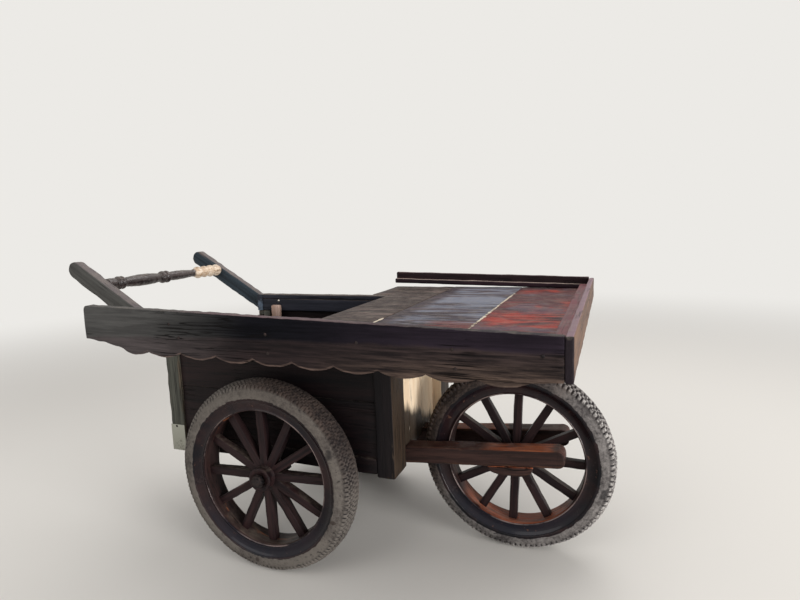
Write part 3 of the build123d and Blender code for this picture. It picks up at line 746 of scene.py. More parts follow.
# Wheel centres: a turned wooden hub with a raised ring at each end, and twelve flat spokes wedged side
# by side round it and let into the felloe, painted a maroon that is worn on the corners.
wheel_paint = aged_timber("maroon_wheel_paint", rgb(46, 31, 31), rgb(24, 17, 19), rgb(76, 58, 52), worn=0.18,
                          rubbed=0.35, rough=0.45)
SPOKE_COUNT = 12
SPOKE_HALF_WIDTH = 0.013
SPOKE_HALF_DEPTHS = (0.016, 0.012)
FELLOE_INNER = 0.213
FELLOE_OUTER = 0.241
FELLOE_HALF = 0.0335
HUB_HALF = 0.048
HUB_RADIUS = 0.036
HUB_SEGMENTS = 64
# How far from the middle the spokes start, how far they go into the felloe, and how many radians they
# stray from an even spacing
SPOKE_ROOT = 0.022
SPOKE_TENON = 0.004
SPOKE_STRAY = 0.012
# wheel, degrees that its spokes are turned, counterclockwise as seen from the cart's right
WHEELS = {"front": -2.0, "rear_right": 2.5, "rear_left": 9.0}
wheel_centre = {}
for wheel in WHEELS:
    low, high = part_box(f"tyre_{wheel}")
    wheel_centre[wheel] = np.array((low + high) / 2)


def turned_ring(centre, across, radius, segments, push=None):
    """A ring turned about a line across the cart, from a closed loop of (across, radius) points.

    A point lies at radius * (sine, cosine) of its turn, forward and up from the line. push, if given,
    moves each point of the (turn, loop) grid along the loop's own outward direction.
    """
    turns = np.linspace(0, 2 * math.pi, segments, endpoint=False)[:, None]
    across = np.asarray(across, float)
    radius = np.asarray(radius, float)
    step_across = np.roll(across, -1) - np.roll(across, 1)
    step_out = np.roll(radius, -1) - np.roll(radius, 1)
    length = np.hypot(step_across, step_out) + 1e-9
    way = np.sign(np.sum(across * np.roll(radius, -1) - np.roll(across, -1) * radius))
    out_across = way * step_out / length
    out_radius = -way * step_across / length
    push = np.zeros((segments, len(across))) if push is None else push
    y = across + push * out_across
    r = radius + push * out_radius
    points = np.array(centre) + np.stack([r * np.sin(turns), y, r * np.cos(turns)], axis=-1)
    face = np.stack(np.broadcast_arrays(
        out_radius * np.sin(turns), out_across, out_radius * np.cos(turns)), axis=-1)
    grain = np.stack([0.3 * np.cos(turns) + 0 * r, r, y + 0.02 * np.sin(turns)], axis=-1)
    grain = grain + random.uniform(0, GRAIN_STARTS, 3)
    edge = np.full(points.shape[:2], FAR_FROM_EDGE)
    reach = np.broadcast_to(r, points.shape[:2])
    return skin(points, {"grain": grain, "edge": edge, "face": face, "reach": reach}, ring=True)


# Distance across and radius, as shares of the hub's half length and of its radius
HUB_PROFILE = np.array([
    (-1.0, 0.80), (-1.0, 0.97), (-0.975, 1.03), (-0.80, 1.03), (-0.77, 0.93), (-0.45, 0.90), (-0.34, 1.0),
    (0.34, 1.0), (0.45, 0.90), (0.77, 0.93), (0.80, 1.03), (0.975, 1.03), (1.0, 0.97), (1.0, 0.80),
    (0.93, 0.72), (0.93, 0.36), (-0.93, 0.36), (-0.93, 0.72)])
for wheel, turned in WHEELS.items():
    centre = wheel_centre[wheel]
    hub = turned_ring(centre, HUB_PROFILE[:, 0] * HUB_HALF, HUB_PROFILE[:, 1] * HUB_RADIUS, HUB_SEGMENTS)
    # The spokes have no reach, and all the shapes of one piece carry the same values
    del hub[2]["reach"]
    parts = [hub]
    for turn in range(SPOKE_COUNT):
        angle = 2 * math.pi * turn / SPOKE_COUNT + math.radians(turned) + random.normal() * SPOKE_STRAY
        outward = np.array([math.cos(angle), 0.0, math.sin(angle)])
        sideways = np.array([-math.sin(angle), 0.0, math.cos(angle)])
        distance = SPOKE_ROOT + stations(FELLOE_INNER + SPOKE_TENON - SPOKE_ROOT, 0.003, 0.02)
        taper = (distance - distance[0]) / (distance[-1] - distance[0])
        half_depth = SPOKE_HALF_DEPTHS[0] + (SPOKE_HALF_DEPTHS[1] - SPOKE_HALF_DEPTHS[0]) * taper
        parts.append(carried(centre + distance[:, None] * outward, sideways, (0, 1, 0), SPOKE_HALF_WIDTH,
                             half_depth, radius=0.0016, wear=0.0007))
    add_piece(f"hub_and_spokes_{wheel}", parts, wheel_paint, "wheel_wood", f"wheel_{wheel}",
              f"spoked_hub_{wheel}")

# Felloes and rims: a wooden ring on the spokes' ends, its inner face rubbed to red and orange wood, and
# a pressed metal rim that laps its sides, dished and painted a glossy near-black, with a rolled bead.
FELLOE_ORANGE_TOP = (0.13, 0.20)


def orange_below(shade, colour, fibre, streak, blotch):
    """Orange wood rubbed bare along the lower part of the ring."""
    height = shade.place().part(2)
    low_part = 1 - (height + 0.1 * (blotch - 0.5)).above(*FELLOE_ORANGE_TOP)
    rubbed = low_part * (0.5 * streak + 0.5 * blotch).above(0.38, 0.56)
    return rubbed.between(colour, fibre.between(rgb(104, 46, 30), rgb(158, 84, 52)))


def orange_spots(shade, colour, fibre, streak, blotch):
    """Small places rubbed to the orange wood."""
    return (blotch.above(0.60, 0.68) * 0.9).between(colour, rgb(142, 84, 54))


felloe_paints = {
    "front": aged_timber("front_felloe_paint", rgb(54, 36, 33), rgb(28, 20, 21), rgb(112, 70, 48), worn=0.3,
                         repaint=orange_below),
    "rear": aged_timber("rear_felloe_paint", rgb(50, 34, 32), rgb(24, 18, 19), rgb(104, 70, 52), worn=0.2,
                        repaint=orange_spots),
}
RING_SEGMENTS = 180


def ring_section(half_width, inner, outer, radius):
    """The rounded section as a closed loop of (across, radius) points."""
    section = rounded_section()
    half_depth = (outer - inner) / 2
    across = section[:, 0] * (half_width - radius) + section[:, 2] * radius
    height = section[:, 1] * (half_depth - radius) + section[:, 3] * radius
    return across, (inner + outer) / 2 + height


RIM_BEAD_TOP = 0.2188


def painted_rim(name):
    """Glossy near-black to dark maroon paint on metal, dull with mud in places, blue-black low down as a
    painted reflection of the sky, its bead pale with wear and a painted highlight.
    """
    material, shade = blank_material(name)
    place = shade.place()
    reach = shade.number("reach")
    patch = place.noise(9.0, 5.0, 0.6)
    chip = place.noise(60.0, 4.0, 0.6).above(0.66, 0.72)
    mud = place.noise(20.0, 6.0, 0.65).above(0.6, 0.78)
    tone = 0.7 * patch + 0.3 * place.noise(30.0, 4.0, 0.6)
    colour = tone.above(0.32, 0.68).between(rgb(17, 15, 20), rgb(41, 27, 27))
    # Blue-black on the lower part of the wheel: a painted reflection of the sky in the gloss
    colour = ((1 - place.part(2).above(0.10, 0.24)) * 0.6).between(colour, rgb(24, 26, 36))
    colour = (mud * 0.45).between(colour, rgb(76, 62, 58))
    colour = (chip * 0.8).between(colour, rgb(84, 58, 46))
    # The bead's pale colour is rubbed paint and a painted highlight
    bead = 1 - (reach + 0.003 * (patch - 0.5)).above(RIM_BEAD_TOP - 0.001, RIM_BEAD_TOP + 0.0006)
    colour = (bead * place.noise(11.0, 5.0, 0.62).above(0.38, 0.62)).between(colour, rgb(116, 101, 97))
    return finished(material, shade, colour, 0.24 + 0.4 * mud + 0.3 * chip, patch - 0.4 * chip, depth=0.0008,
                    coat=0.16 * (1 - mud), shine=0.12)


rim_gloss = painted_rim("rim_paint_gloss")
# One side of the rim's section, as distance across and radius: down the felloe's side, round the rolled
# bead, out over the dish and round the flange that holds the tyre
RIM_SIDE = np.array([
    (0.0338, 0.2405), (0.0338, 0.2170), (0.0345, 0.2152), (0.0366, 0.2158), (0.0376, 0.2175),
    (0.0366, 0.2190), (0.0352, 0.2206), (0.0350, 0.2300), (0.0366, 0.2375), (0.0400, 0.2440),
    (0.0436, 0.2485), (0.0445, 0.2505), (0.0432, 0.2525), (0.0400, 0.2520), (0.0360, 0.2475)])
rim_profile = np.vstack([RIM_SIDE, (RIM_SIDE * (-1.0, 1.0))[::-1]])
for wheel in WHEELS:
    centre = wheel_centre[wheel]
    across, radius = ring_section(FELLOE_HALF, FELLOE_INNER, FELLOE_OUTER, 0.004)
    felloe = turned_ring(centre, across, radius, RING_SEGMENTS)
    add_piece(f"felloe_ring_{wheel}", [felloe], felloe_paints[wheel.split("_")[0]], "wheel_wood",
              f"wheel_{wheel}", f"felloe_{wheel}")
    rim = turned_ring(centre, rim_profile[:, 0], rim_profile[:, 1], RING_SEGMENTS)
    add_piece(f"rim_{wheel}", [rim], rim_gloss, "rim_paint", f"wheel_{wheel}", f"felloe_{wheel}")

# Tyres: old motorcycle tyres under pale dust, the rear ones with fine blocks and ribbed shoulders, the
# front one with coarse knobs. The rims' black paint runs on over their inner edges, ragged.
TYRE_OUTER = 0.305
TYRE_INNER = 0.250
TYRE_HALF = 0.046
TYRE_SEGMENTS = 960
SECTION_STEPS = 56
UNDER_STEPS = 8
# Share of its pitch that a block fills and how soft its flanks are, round the tyre and across it
ROUND_BLOCK = (0.70, 0.22)
ACROSS_BLOCK = (0.80, 0.2)
# Share of the blocks' width over which the outermost ones run out on the shoulder
RUN_OUT = 0.22
# The waves in the rubber are read on a band this far from the wheel's middle
WAVE_BAND = 0.3


def pulse(position, width, soft):
    """1 over the middle share of each unit length, falling to 0 at its ends with soft flanks."""
    away = abs(position - np.floor(position) - 0.5)
    share = np.clip((width / 2 + soft / 2 - away) / soft, 0.0, 1.0)
    return share * share * (3 - 2 * share)


def tyre_shape(centre, block_count, block_height, rows, fullness, shoulder, seed):
    """A tyre: a rounded arch from bead to bead, closed underneath, with rows of blocks on its crown.

    The arch is half width * sine ** fullness[0] across and depth * cosine ** fullness[1] high, over half a
    turn. rows is how many rows of blocks each side has from the middle to the shoulder, and shoulder
    where the outermost blocks end, as a share of the half turn.
    """
    turns = np.linspace(0, 2 * math.pi, TYRE_SEGMENTS, endpoint=False)[:, None]
    lean = np.linspace(-1, 1, SECTION_STEPS)
    angle = lean * math.pi / 2
    across = TYRE_HALF * np.sign(angle) * abs(np.sin(angle)) ** fullness[0]
    depth = TYRE_OUTER - TYRE_INNER - block_height
    radius = TYRE_INNER + depth * np.cos(angle) ** fullness[1]
    under = np.linspace(1, -1, UNDER_STEPS)[1:-1]
    across = np.concatenate([across, TYRE_HALF * under * 0.97])
    radius = np.concatenate([radius, np.full(len(under), TYRE_INNER)])
    # The underside counts as past the end of the blocks
    lean = np.concatenate([lean, np.full(len(under), 1.2)])[None, :]
    position = turns / (2 * math.pi) * block_count
    place_in_row = abs(lean) / shoulder * rows
    row = np.clip(np.floor(place_in_row), 0, rows - 1)
    in_row = pulse(np.minimum(place_in_row, rows - 0.5), *ACROSS_BLOCK)
    outermost = row == rows - 1
    fade = np.clip((shoulder * (1 + RUN_OUT) - abs(lean)) / (shoulder * RUN_OUT), 0.0, 1.0)
    blocks = pulse(position + 0.5 * (row % 2), *ROUND_BLOCK) * np.where(outermost, fade, in_row)
    places = WAVE_BAND * np.stack(np.broadcast_arrays(np.sin(turns), lean, np.cos(turns)), axis=-1)
    worn_away = 1 - 0.35 * np.clip(waves(places, 0.11, seed + 2), 0.0, 1.0)
    push = blocks * block_height * worn_away + 0.0005 * waves(places, 0.02, seed + 1)
    shape = turned_ring(centre, across, radius, TYRE_SEGMENTS, push)
    shape[2]["tread"] = np.broadcast_to(blocks, push.shape).reshape(-1, 1)
    shape[2]["crown"] = np.broadcast_to(fade, push.shape).reshape(-1, 1)
    return shape


# Dark spots on the rear tyres' sides: place along the cart and height, half length and half height. The
# front tyre is further forward than all of them.
SPOTS = ((0.1364, 0.2076, 0.010, 0.007), (-0.1387, 0.0391, 0.008, 0.008))


def dusty_rubber(name, wheel_x, rubber, groove, dust, knob, cover, paint_reach, washed_and_shaded):
    """Old rubber under dust that lies thinner in the grooves, which carry painted shade darker than the bare
    rubber, with the rim's paint over its inner edge.

    rubber, groove, dust and knob are its colours: groove is painted shade in the grooves, and knob
    lies on the blocks' tops, pale dust with a painted highlight on the front tyre. cover is how much
    dust there is, and paint_reach how far from the wheel's centre the rim's paint goes. The last is a
    direction, as shares along the cart and up, how far that way from the wheel's centre the dust
    starts to give way to dark brown, and is all gone, and how far it goes on the sides. The dark brown
    is bare rubber, and on the front tyre also painted shade from the deck.
    """
    material, shade = blank_material(name)
    place = shade.place()
    tread = shade.number("tread")
    crown = shade.number("crown")
    reach = shade.number("reach")
    patch = place.noise(9.0, 6.0, 0.62)
    fine = place.noise(110.0, 5.0, 0.72)
    amount = (0.55 * patch + 0.45 * fine + cover - 0.5).above(0.34, 0.62)
    colour = amount.between(rubber, dust)
    filled = place.noise(24.0, 4.0, 0.6).above(0.45, 0.6)
    # Grooves darker than the bare rubber: painted shade, lightened where dust fills them
    in_groove = crown * (1 - tread.above(0.1, 0.8)) * (1 - 0.45 * filled)
    colour = in_groove.between(colour, groove)
    colour = (place.noise(70.0, 4.0, 0.65).above(0.60, 0.68) * 0.7).between(colour, groove)
    # Pale block tops: dust, with a painted highlight where the knob colour is bright, as on the front tyre
    knob_top = crown * tread.above(0.6, 0.95) * fine.above(0.4, 0.62)
    colour = (knob_top * 0.75).between(colour, knob)
    # Dark brown towards one side of the wheel: bare rubber, and on the front tyre painted shade under the
    # deck
    way_x, way_z, starts, ends, on_sides = washed_and_shaded
    that_way = way_x * (place.part(0) - wheel_x) + way_z * (place.part(2) - AXLE_Z) + 0.12 * (patch - 0.5)
    brown = (0.5 * fine + 0.5 * patch).above(0.38, 0.62).between(rgb(34, 29, 29), rgb(76, 63, 57))
    bare = that_way.above(starts, ends) * (on_sides + (0.9 - on_sides) * crown)
    colour = bare.between(colour, brown)
    colour = (place.noise(13.0, 2.0, 0.4).above(0.67, 0.72) * (1 - crown) * 0.7).between(colour, groove)
    for spot_x, spot_z, long, high in SPOTS:
        across = (place.part(0) - spot_x) * (1 / long)
        up = (place.part(2) - spot_z) * (1 / high)
        spot = 1 - (across * across + up * up + 1.2 * (fine - 0.5)).above(0.7, 1.1)
        colour = (spot * 0.75).between(colour, rgb(52, 44, 40))
    ragged = reach + 0.010 * (place.noise(16.0, 5.0, 0.6) - 0.5) + 0.010 * (place.noise(60.0, 4.0, 0.6) - 0.5)
    painted = 1 - ragged.above(paint_reach - 0.0006, paint_reach + 0.0008)
    colour = painted.between(colour, patch.above(0.4, 0.6).between(rgb(13, 13, 18), rgb(40, 27, 28)))
    height = (1 - painted) * (fine + 0.6 * patch + 0.5 * tread)
    return finished(material, shade, colour, 0.92 - 0.5 * painted, height, depth=0.0012,
                    coat=0.1 * painted, shine=0.15)


rear_rubber = dusty_rubber("dusty_rubber", REAR_AXLE_X, rgb(60, 54, 52), rgb(27, 26, 27), rgb(103, 97, 91),
                           rgb(107, 101, 96), cover=0.53, paint_reach=0.2540,
                           washed_and_shaded=(0.62, 0.78, 0.14, 0.27, 0.2))
# The front tyre's dark brown rear upper part is painted shade from the deck
front_rubber = dusty_rubber("grey_rubber", FRONT_AXLE_X, rgb(56, 52, 52), rgb(24, 23, 25), rgb(128, 123, 120),
                            rgb(184, 179, 174), cover=0.50, paint_reach=0.2600,
                            washed_and_shaded=(-0.70, 0.70, -0.03, 0.17, 0.88))
# wheel, blocks round, block height, rows, fullness of the arch, where the blocks end, material
TYRES = (
    ("front", 108, 0.006, 3, (0.95, 0.78), 0.50, front_rubber),
    ("rear_right", 132, 0.0035, 5, (0.85, 0.70), 0.56, rear_rubber),
    ("rear_left", 132, 0.0035, 5, (0.85, 0.70), 0.56, rear_rubber),
)
for seed, (wheel, count, height, rows, fullness, shoulder, rubber) in enumerate(TYRES):
    shape = tyre_shape(wheel_centre[wheel], count, height, rows, fullness, shoulder, 40 + 3 * seed)
    add_piece(f"tyre_{wheel}_cover", [shape], rubber, "tyre", f"wheel_{wheel}", f"tyre_{wheel}")

# Deck frame: two long joists over the box's posts, painted blue-black, and rough bearers across them that
# carry the deck and reach out to the side boards.
joist_paint = aged_timber("blue_black_joist_paint", rgb(46, 47, 55), rgb(33, 34, 41), rgb(82, 66, 58),
                          rgb(64, 53, 48), worn=0.1, rubbed=0.4)
for name in SIDES:
    add_timber(f"joist_timber_{name}", f"joist_{name}", 0, joist_paint, "timber_dark", radius=0.004)

BEARER_WIDTH = 0.045
OUTRIGGER_WIDTH = 0.040
WELL_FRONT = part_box("deck_panel_rear")[0].x
JOINT_1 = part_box("deck_panel_middle")[0].x
JOINT_2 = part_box("deck_panel_front")[0].x
DECK_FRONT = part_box("deck_panel_front")[1].x
DECK_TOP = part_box("deck_panel_front")[1].z
low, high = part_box("deck_bearers")
bearers = [squared((rear, low.y, low.z), (rear + BEARER_WIDTH, high.y, high.z), 1)
           for rear in (WELL_FRONT, JOINT_1 - BEARER_WIDTH / 2, JOINT_2 - BEARER_WIDTH / 2,
                        DECK_FRONT - BEARER_WIDTH)]
# Side and rear edge of each outrigger beside the well
OUTRIGGERS = ((-1, x_at(-0.250)), (-1, x_at(-0.060)), (-1, x_at(0.090)), (1, x_at(0.100)))
for side, rear in OUTRIGGERS:
    y0, y1 = mirrored(side, JOIST_OUTER, high.y)
    bearers.append(squared((rear, y0, low.z), (rear + OUTRIGGER_WIDTH, y1, high.z), 1))
add_piece("deck_bearer_timbers", bearers, rough_wood, "timber_dark", "cart", "deck_bearers")

# Deck: three wide panels laid end to end on the bearers, each in a different old paint, grey brown at the
# rear, worn blue in the middle and red in front, with the pale filler of their joints breaking out.
def dirty_joint(place, colour):
    """Dirt in the rear joint, where most of the filler has gone."""
    dirt = 1 - place.part(0).distance_from(JOINT_1).above(0.0025, 0.0055)
    return (dirt * 0.85).between(colour, rgb(44, 31, 30))


def smeared_brown(shade, colour, fibre, streak, blotch):
    """Pale worn smears over grey brown."""
    colour = ((0.7 * blotch + 0.3 * fibre).above(0.5, 0.62) * 0.6).between(colour, rgb(120, 104, 98))
    return dirty_joint(shade.place(), colour)


def smeared_blue(shade, colour, fibre, streak, blotch):
    """Pale blue smears over purple-brown paint but for its rear edge, and dark red towards the right."""
    place = shade.place()
    smear = place.stretched((3.0, 9.0, 9.0)).noise(1.0, 6.0, 0.62, 1.2)
    blue = (0.85 * smear + 0.15 * fibre).above(0.42, 0.56) * 0.85
    blue = blue * (place.part(0) + 0.08 * (smear - 0.5)).above(JOINT_1 + 0.03, JOINT_1 + 0.08)
    colour = blue.between(colour, rgb(114, 118, 131))
    right = 1 - (place.part(1) + 0.2 * (smear - 0.5)).above(-0.27, -0.22)
    right = right * (place.part(0) + 0.1 * (blotch - 0.5)).above(0.38, 0.44)
    colour = (right * (0.6 * streak + 0.4 * fibre).above(0.38, 0.52) * 0.85).between(colour, rgb(98, 38, 38))
    return dirty_joint(place, colour)


def patched_red(shade, colour, fibre, streak, blotch):
    """Orange-red patches and worn blue-grey ones over dull purple-red paint."""
    place = shade.place()
    patch = place.stretched((4.0, 5.5, 5.5)).noise(1.0, 6.0, 0.6, 1.0)
    more = place.part(0).above(0.46, 0.62) * 0.06 - place.part(1).above(0.1, 0.3) * 0.09
    orange_red = (0.88 * patch + 0.12 * streak + more).above(0.49, 0.62) * 0.92
    colour = orange_red.between(colour, rgb(148, 49, 38))
    worn_place = place.stretched((6.0, 7.5, 7.5)).noise(1.0, 6.0, 0.6, 1.0)
    return ((0.9 * worn_place + 0.1 * fibre).above(0.51, 0.61) * 0.75).between(colour, rgb(76, 63, 75))


deck_boards = {
    "rear": aged_timber("grey_brown_deck", rgb(66, 54, 52), rgb(36, 30, 31), rgb(108, 90, 84), worn=0.3,
                        rough=0.55, shine=0.05, repaint=smeared_brown),
    "middle": aged_timber("blue_grey_deck", rgb(68, 55, 65), rgb(36, 29, 37), rgb(108, 88, 88), worn=0.12,
                          rough=0.5, shine=0.05, repaint=smeared_blue),
    "front": aged_timber("red_deck", rgb(88, 42, 46), rgb(54, 30, 36), rgb(96, 76, 76), worn=0.12,
                         rough=0.5, shine=0.05, repaint=patched_red),
}
for name, finish in deck_boards.items():
    add_timber(f"deck_boards_{name}", f"deck_panel_{name}", 0, finish, "deck_paint", radius=0.002)

# Half the filler's width, how far it rises, how far it strays from the joint, the steps along it, how far
# from the deck's right edge it starts, and how many steps the shortest piece of it has
FILLER_HALF = 0.0036
FILLER_RISE = 0.0012
FILLER_STRAY = 0.0012
FILLER_STEP = 0.003
FILLER_START = 0.004
SHORTEST_RUN = 4
filler_white = aged_timber("cream_joint_filler", rgb(214, 204, 184), rgb(176, 160, 140), rgb(130, 112, 98),
                           worn=0.25, dusty=0.1)
filler = []
deck_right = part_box("deck_panel_rear")[0].y
rail_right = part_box("rail_strip_left")[0].y
# joint, share of its length over which the filler has stayed, from the right
for joint, stays in ((JOINT_2, 0.86), (JOINT_1, 0.30)):
    across_way = np.arange(deck_right + FILLER_START, rail_right, FILLER_STEP)
    places = np.column_stack([np.full(len(across_way), joint), across_way, across_way * 0])
    crumbled = 0.6 * waves(places, 0.11, 61) + 0.6 * waves(places, 0.03, 62)
    spent = (across_way - deck_right) / (rail_right - deck_right) > stays
    kept = np.concatenate([[False], ~spent & (crumbled > -0.62), [False]])
    half = FILLER_HALF * np.clip(0.8 + 0.45 * waves(places, 0.03, 63), 0.35, 1.3)
    starts = np.flatnonzero(kept[1:-1] & ~kept[:-2])
    ends = np.flatnonzero(kept[1:-1] & ~kept[2:])
    for first, last in zip(starts, ends):
        run = slice(first, last + 1)
        if run.stop - run.start < SHORTEST_RUN:
            continue
        run_half = half[run].copy()
        run_half[[0, -1]] *= 0.35
        sideways = FILLER_STRAY * waves(places[run], 0.05, 64)
        path = np.column_stack([joint + sideways, across_way[run], np.full(len(run_half), DECK_TOP)])
        filler.append(carried(path, (1, 0, 0), (0, 0, 1), run_half, FILLER_RISE, radius=0.0006, bow=0.0,
                              wear=0.0))
add_piece("deck_joint_filler", filler, filler_white, "deck_paint", "cart")

RIGHT_WING_REAR = x_at(0.060)
LEFT_WING_REAR = x_at(0.090)
low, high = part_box("deck_wings")
wings = [squared((RIGHT_WING_REAR, low.y, low.z), (high.x, -JOIST_OUTER, high.z), 0, radius=0.002),
         squared((LEFT_WING_REAR, JOIST_OUTER, low.z), (high.x, high.y, high.z), 0, radius=0.002)]
add_piece("deck_wing_boards", wings, deck_boards["rear"], "deck_paint", "cart", "deck_wings")

edges = on_both_sides(JOIST_INNER, JOIST_OUTER, *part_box("well_edges"), 0)
add_piece("well_edge_strips", edges, joist_paint, "timber_dark", "cart", "well_edges")

# Side boards: one plank along each side, its lower edge sawn into round lobes between sharp cusps. The
# right one runs the cart's whole length and starts with an ogee, painted blue-black above and worn to
# brown wood below.
LOBE_PITCH = 0.115
LOBE_DEPTH = 0.013
LOBE_COUNT = 9
FIRST_CUSP = -0.201
OGEE_LENGTH = 0.140
OGEE_DROP = 0.020
# Depth of the cusps under the deck's top, at the first lobe and past the last one
CUSP_DROPS = (0.047, 0.065)
LOBE_STEPS = 24
OGEE_STEPS = 24
REAR_CORNER = 0.012
# Distances from a board's rear end at which its rounded corner is drawn, and where the steps widen
CORNER_STEPS = np.array([0.0, 0.0008, 0.002, 0.0035, 0.0055, 0.008, 0.012])
CORNER_END = 0.017
# Distance of the long board's rear end ahead of the rear axle
BOARD_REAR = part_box("side_board_right")[0].x - REAR_AXLE_X
# Height of the line between the two bands of paint above the deck, at the rear end and at the front, and
# how much higher than straight it is between them
BAND_HEIGHTS = (-0.012, 0.003)
BAND_BOW = 0.011


def cusp_z(x):
    """Height of the cusps' line at a distance ahead of the rear axle."""
    share = (x - FIRST_CUSP) / (LOBE_PITCH * LOBE_COUNT)
    return DECK_TOP - CUSP_DROPS[0] - (CUSP_DROPS[1] - CUSP_DROPS[0]) * share


def lobe_drop(share, pitch):
    """How far a round lobe hangs under its cusps' line at a share of its pitch: a circle's arc."""
    radius = (pitch ** 2 / 4 + LOBE_DEPTH ** 2) / (2 * LOBE_DEPTH)
    away = (share - 0.5) * pitch
    return np.sqrt(radius ** 2 - away ** 2) - (radius - LOBE_DEPTH)


def scalloped_board(first_cusp, count, x_rear, lower_before, front_z, z_top, y0, y1):
    """A side board: the section's height at each step goes from the sawn lower edge to the top edge.

    lower_before holds the lower edge's points behind the first cusp, and z_top gives the top edge's
    height at each distance. The band attribute is the height over the line between the two bands of
    paint.
    """
    front = DECK_FRONT - REAR_AXLE_X
    last_cusp = first_cusp + count * LOBE_PITCH
    share = np.linspace(0, 1, LOBE_STEPS, endpoint=False)
    lobes_x = (first_cusp + LOBE_PITCH * (np.arange(count)[:, None] + share)).ravel()
    lobes_z = cusp_z(lobes_x) - np.tile(lobe_drop(share, LOBE_PITCH), count)
    before_x, before_z = lower_before
    after_x = np.concatenate([np.linspace(last_cusp, front - 0.003, 6), [front - 0.0008, front]])
    after_z = cusp_z(last_cusp) + (front_z - cusp_z(last_cusp)) * (after_x - last_cusp) / (front - last_cusp)
    x = np.concatenate([before_x, lobes_x, after_x])
    lower = np.concatenate([before_z, lobes_z, after_z])
    from_rear = np.clip(REAR_CORNER - (x - x_rear), 0.0, REAR_CORNER)
    upper = z_top(x) - (REAR_CORNER - np.sqrt(REAR_CORNER ** 2 - from_rear ** 2))
    shape = between_edges(x_at(x), y0, y1, lower, upper, 0.003)
    along = (shape[0][:, 0] - x_at(BOARD_REAR)) / (DECK_FRONT - x_at(BOARD_REAR))
    line = DECK_TOP + BAND_HEIGHTS[0] + (BAND_HEIGHTS[1] - BAND_HEIGHTS[0]) * along
    line = line + BAND_BOW * np.sin(math.pi * along)
    shape[2]["band"] = (shape[0][:, 2] - line)[:, None]
    shape[2]["grain"] = shape[0] + random.uniform(0.0, GRAIN_STARTS, 3)
    return shape


ogee_x = np.concatenate([
    BOARD_REAR + CORNER_STEPS, np.linspace(BOARD_REAR + CORNER_END, BOARD_REAR + OGEE_LENGTH, OGEE_STEPS)])
ogee_share = (ogee_x - BOARD_REAR) / OGEE_LENGTH
start_z = DECK_TOP - OGEE_DROP
end_z = cusp_z(BOARD_REAR + OGEE_LENGTH)
# Cubic between the two ends, with their slopes given for the whole length
ogee_slopes = np.array([-0.1, -0.3]) * OGEE_LENGTH
ogee_z = (start_z * (1 - 3 * ogee_share ** 2 + 2 * ogee_share ** 3)
          + end_z * (3 * ogee_share ** 2 - 2 * ogee_share ** 3)
          + ogee_slopes[0] * (ogee_share - 2 * ogee_share ** 2 + ogee_share ** 3)
          + ogee_slopes[1] * (ogee_share ** 3 - ogee_share ** 2))
first_pitch = FIRST_CUSP - BOARD_REAR - OGEE_LENGTH
first_share = np.linspace(0, 1, LOBE_STEPS, endpoint=False)[1:]
first_x = BOARD_REAR + OGEE_LENGTH + first_pitch * first_share
first_z = cusp_z(first_x) - lobe_drop(first_share, first_pitch)
before = (np.concatenate([ogee_x, first_x]), np.concatenate([ogee_z, first_z]))
# Height of the long board's top edge over the deck, at its rear end and at its front end
SIDE_RISES = (0.077, 0.039)


def right_top(x):
    """Height of the right board's top edge, which falls evenly to the front."""
    share = (x - BOARD_REAR) / (DECK_FRONT - REAR_AXLE_X - BOARD_REAR)
    return DECK_TOP + SIDE_RISES[0] + (SIDE_RISES[1] - SIDE_RISES[0]) * share


# Height of the boards' lower front corners
FRONT_RIGHT_Z = DECK_TOP - 0.060
FRONT_LEFT_Z = DECK_TOP - 0.038


def brown_below(shade, colour, fibre, streak, blotch):
    """Wood with the paint gone under a line, paint bleached grey towards the board's rear end, and bare sawn
    wood with a painted highlight along the lobes.
    """
    length = shade.place().part(0)
    streaky = streak.above(0.35, 0.65)
    purple = length.above(0.1, 0.6)
    colour = purple.between(colour, streaky.between(rgb(25, 20, 26), rgb(40, 33, 41)))
    bleached = 1 - (length + 0.12 * (blotch - 0.5)).above(-0.38, 0.05)
    colour = (bleached * 0.95).between(colour, streaky.between(rgb(62, 61, 60), rgb(84, 83, 81)))
    band = shade.number("band")
    below = 1 - (band + 0.03 * (blotch - 0.5) + 0.01 * (fibre - 0.5)).above(-0.010, 0.004)
    tone = (0.6 * fibre + 0.4 * streak).above(0.36, 0.68)
    low_part = 1 - (band + 0.03 * (streak - 0.5)).above(-0.075, -0.015)
    brightest = low_part.between(rgb(64, 53, 51), rgb(104, 87, 77))
    wood = tone.between(rgb(26, 22, 23), purple.between(rgb(46, 37, 37), brightest))
    wood = ((0.6 * blotch + 0.4 * fibre).above(0.60, 0.68) * 0.45).between(wood, rgb(118, 104, 95))
    wood = (bleached * 0.85).between(wood, tone.between(rgb(64, 59, 59), rgb(88, 81, 81)))
    # Along the lobes' lower edge: bare sawn wood, with a painted highlight on it
    sawn_edge_highlight = (1 - shade.number("edge").above(0.001, 0.004)) * (1 - band.above(-0.04, -0.03))
    sawn_edge_highlight = sawn_edge_highlight * length.above(-0.42, -0.18) * (1 - length.above(0.30, 0.48))
    wood = (sawn_edge_highlight * (0.5 * fibre + 0.5 * blotch).above(0.36, 0.60) * 0.75).between(wood, rgb(108, 90, 82))
    return below.between(colour, wood)


# The top tone is a painted highlight along the boards' top edge
side_paint = aged_timber("blue_black_board_paint", rgb(16, 16, 21), rgb(6, 6, 10), rgb(84, 68, 60),
                         rgb(90, 72, 76), worn=0.06, rubbed=0.3, rough=0.5, shine=0.04, repaint=brown_below)
low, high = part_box("side_board_right")
right_board = scalloped_board(FIRST_CUSP, LOBE_COUNT, BOARD_REAR, before, FRONT_RIGHT_Z, right_top, low.y,
                              high.y)
add_piece("scalloped_board_right", [right_board], side_paint, "timber_dark", "cart", "side_board_right")

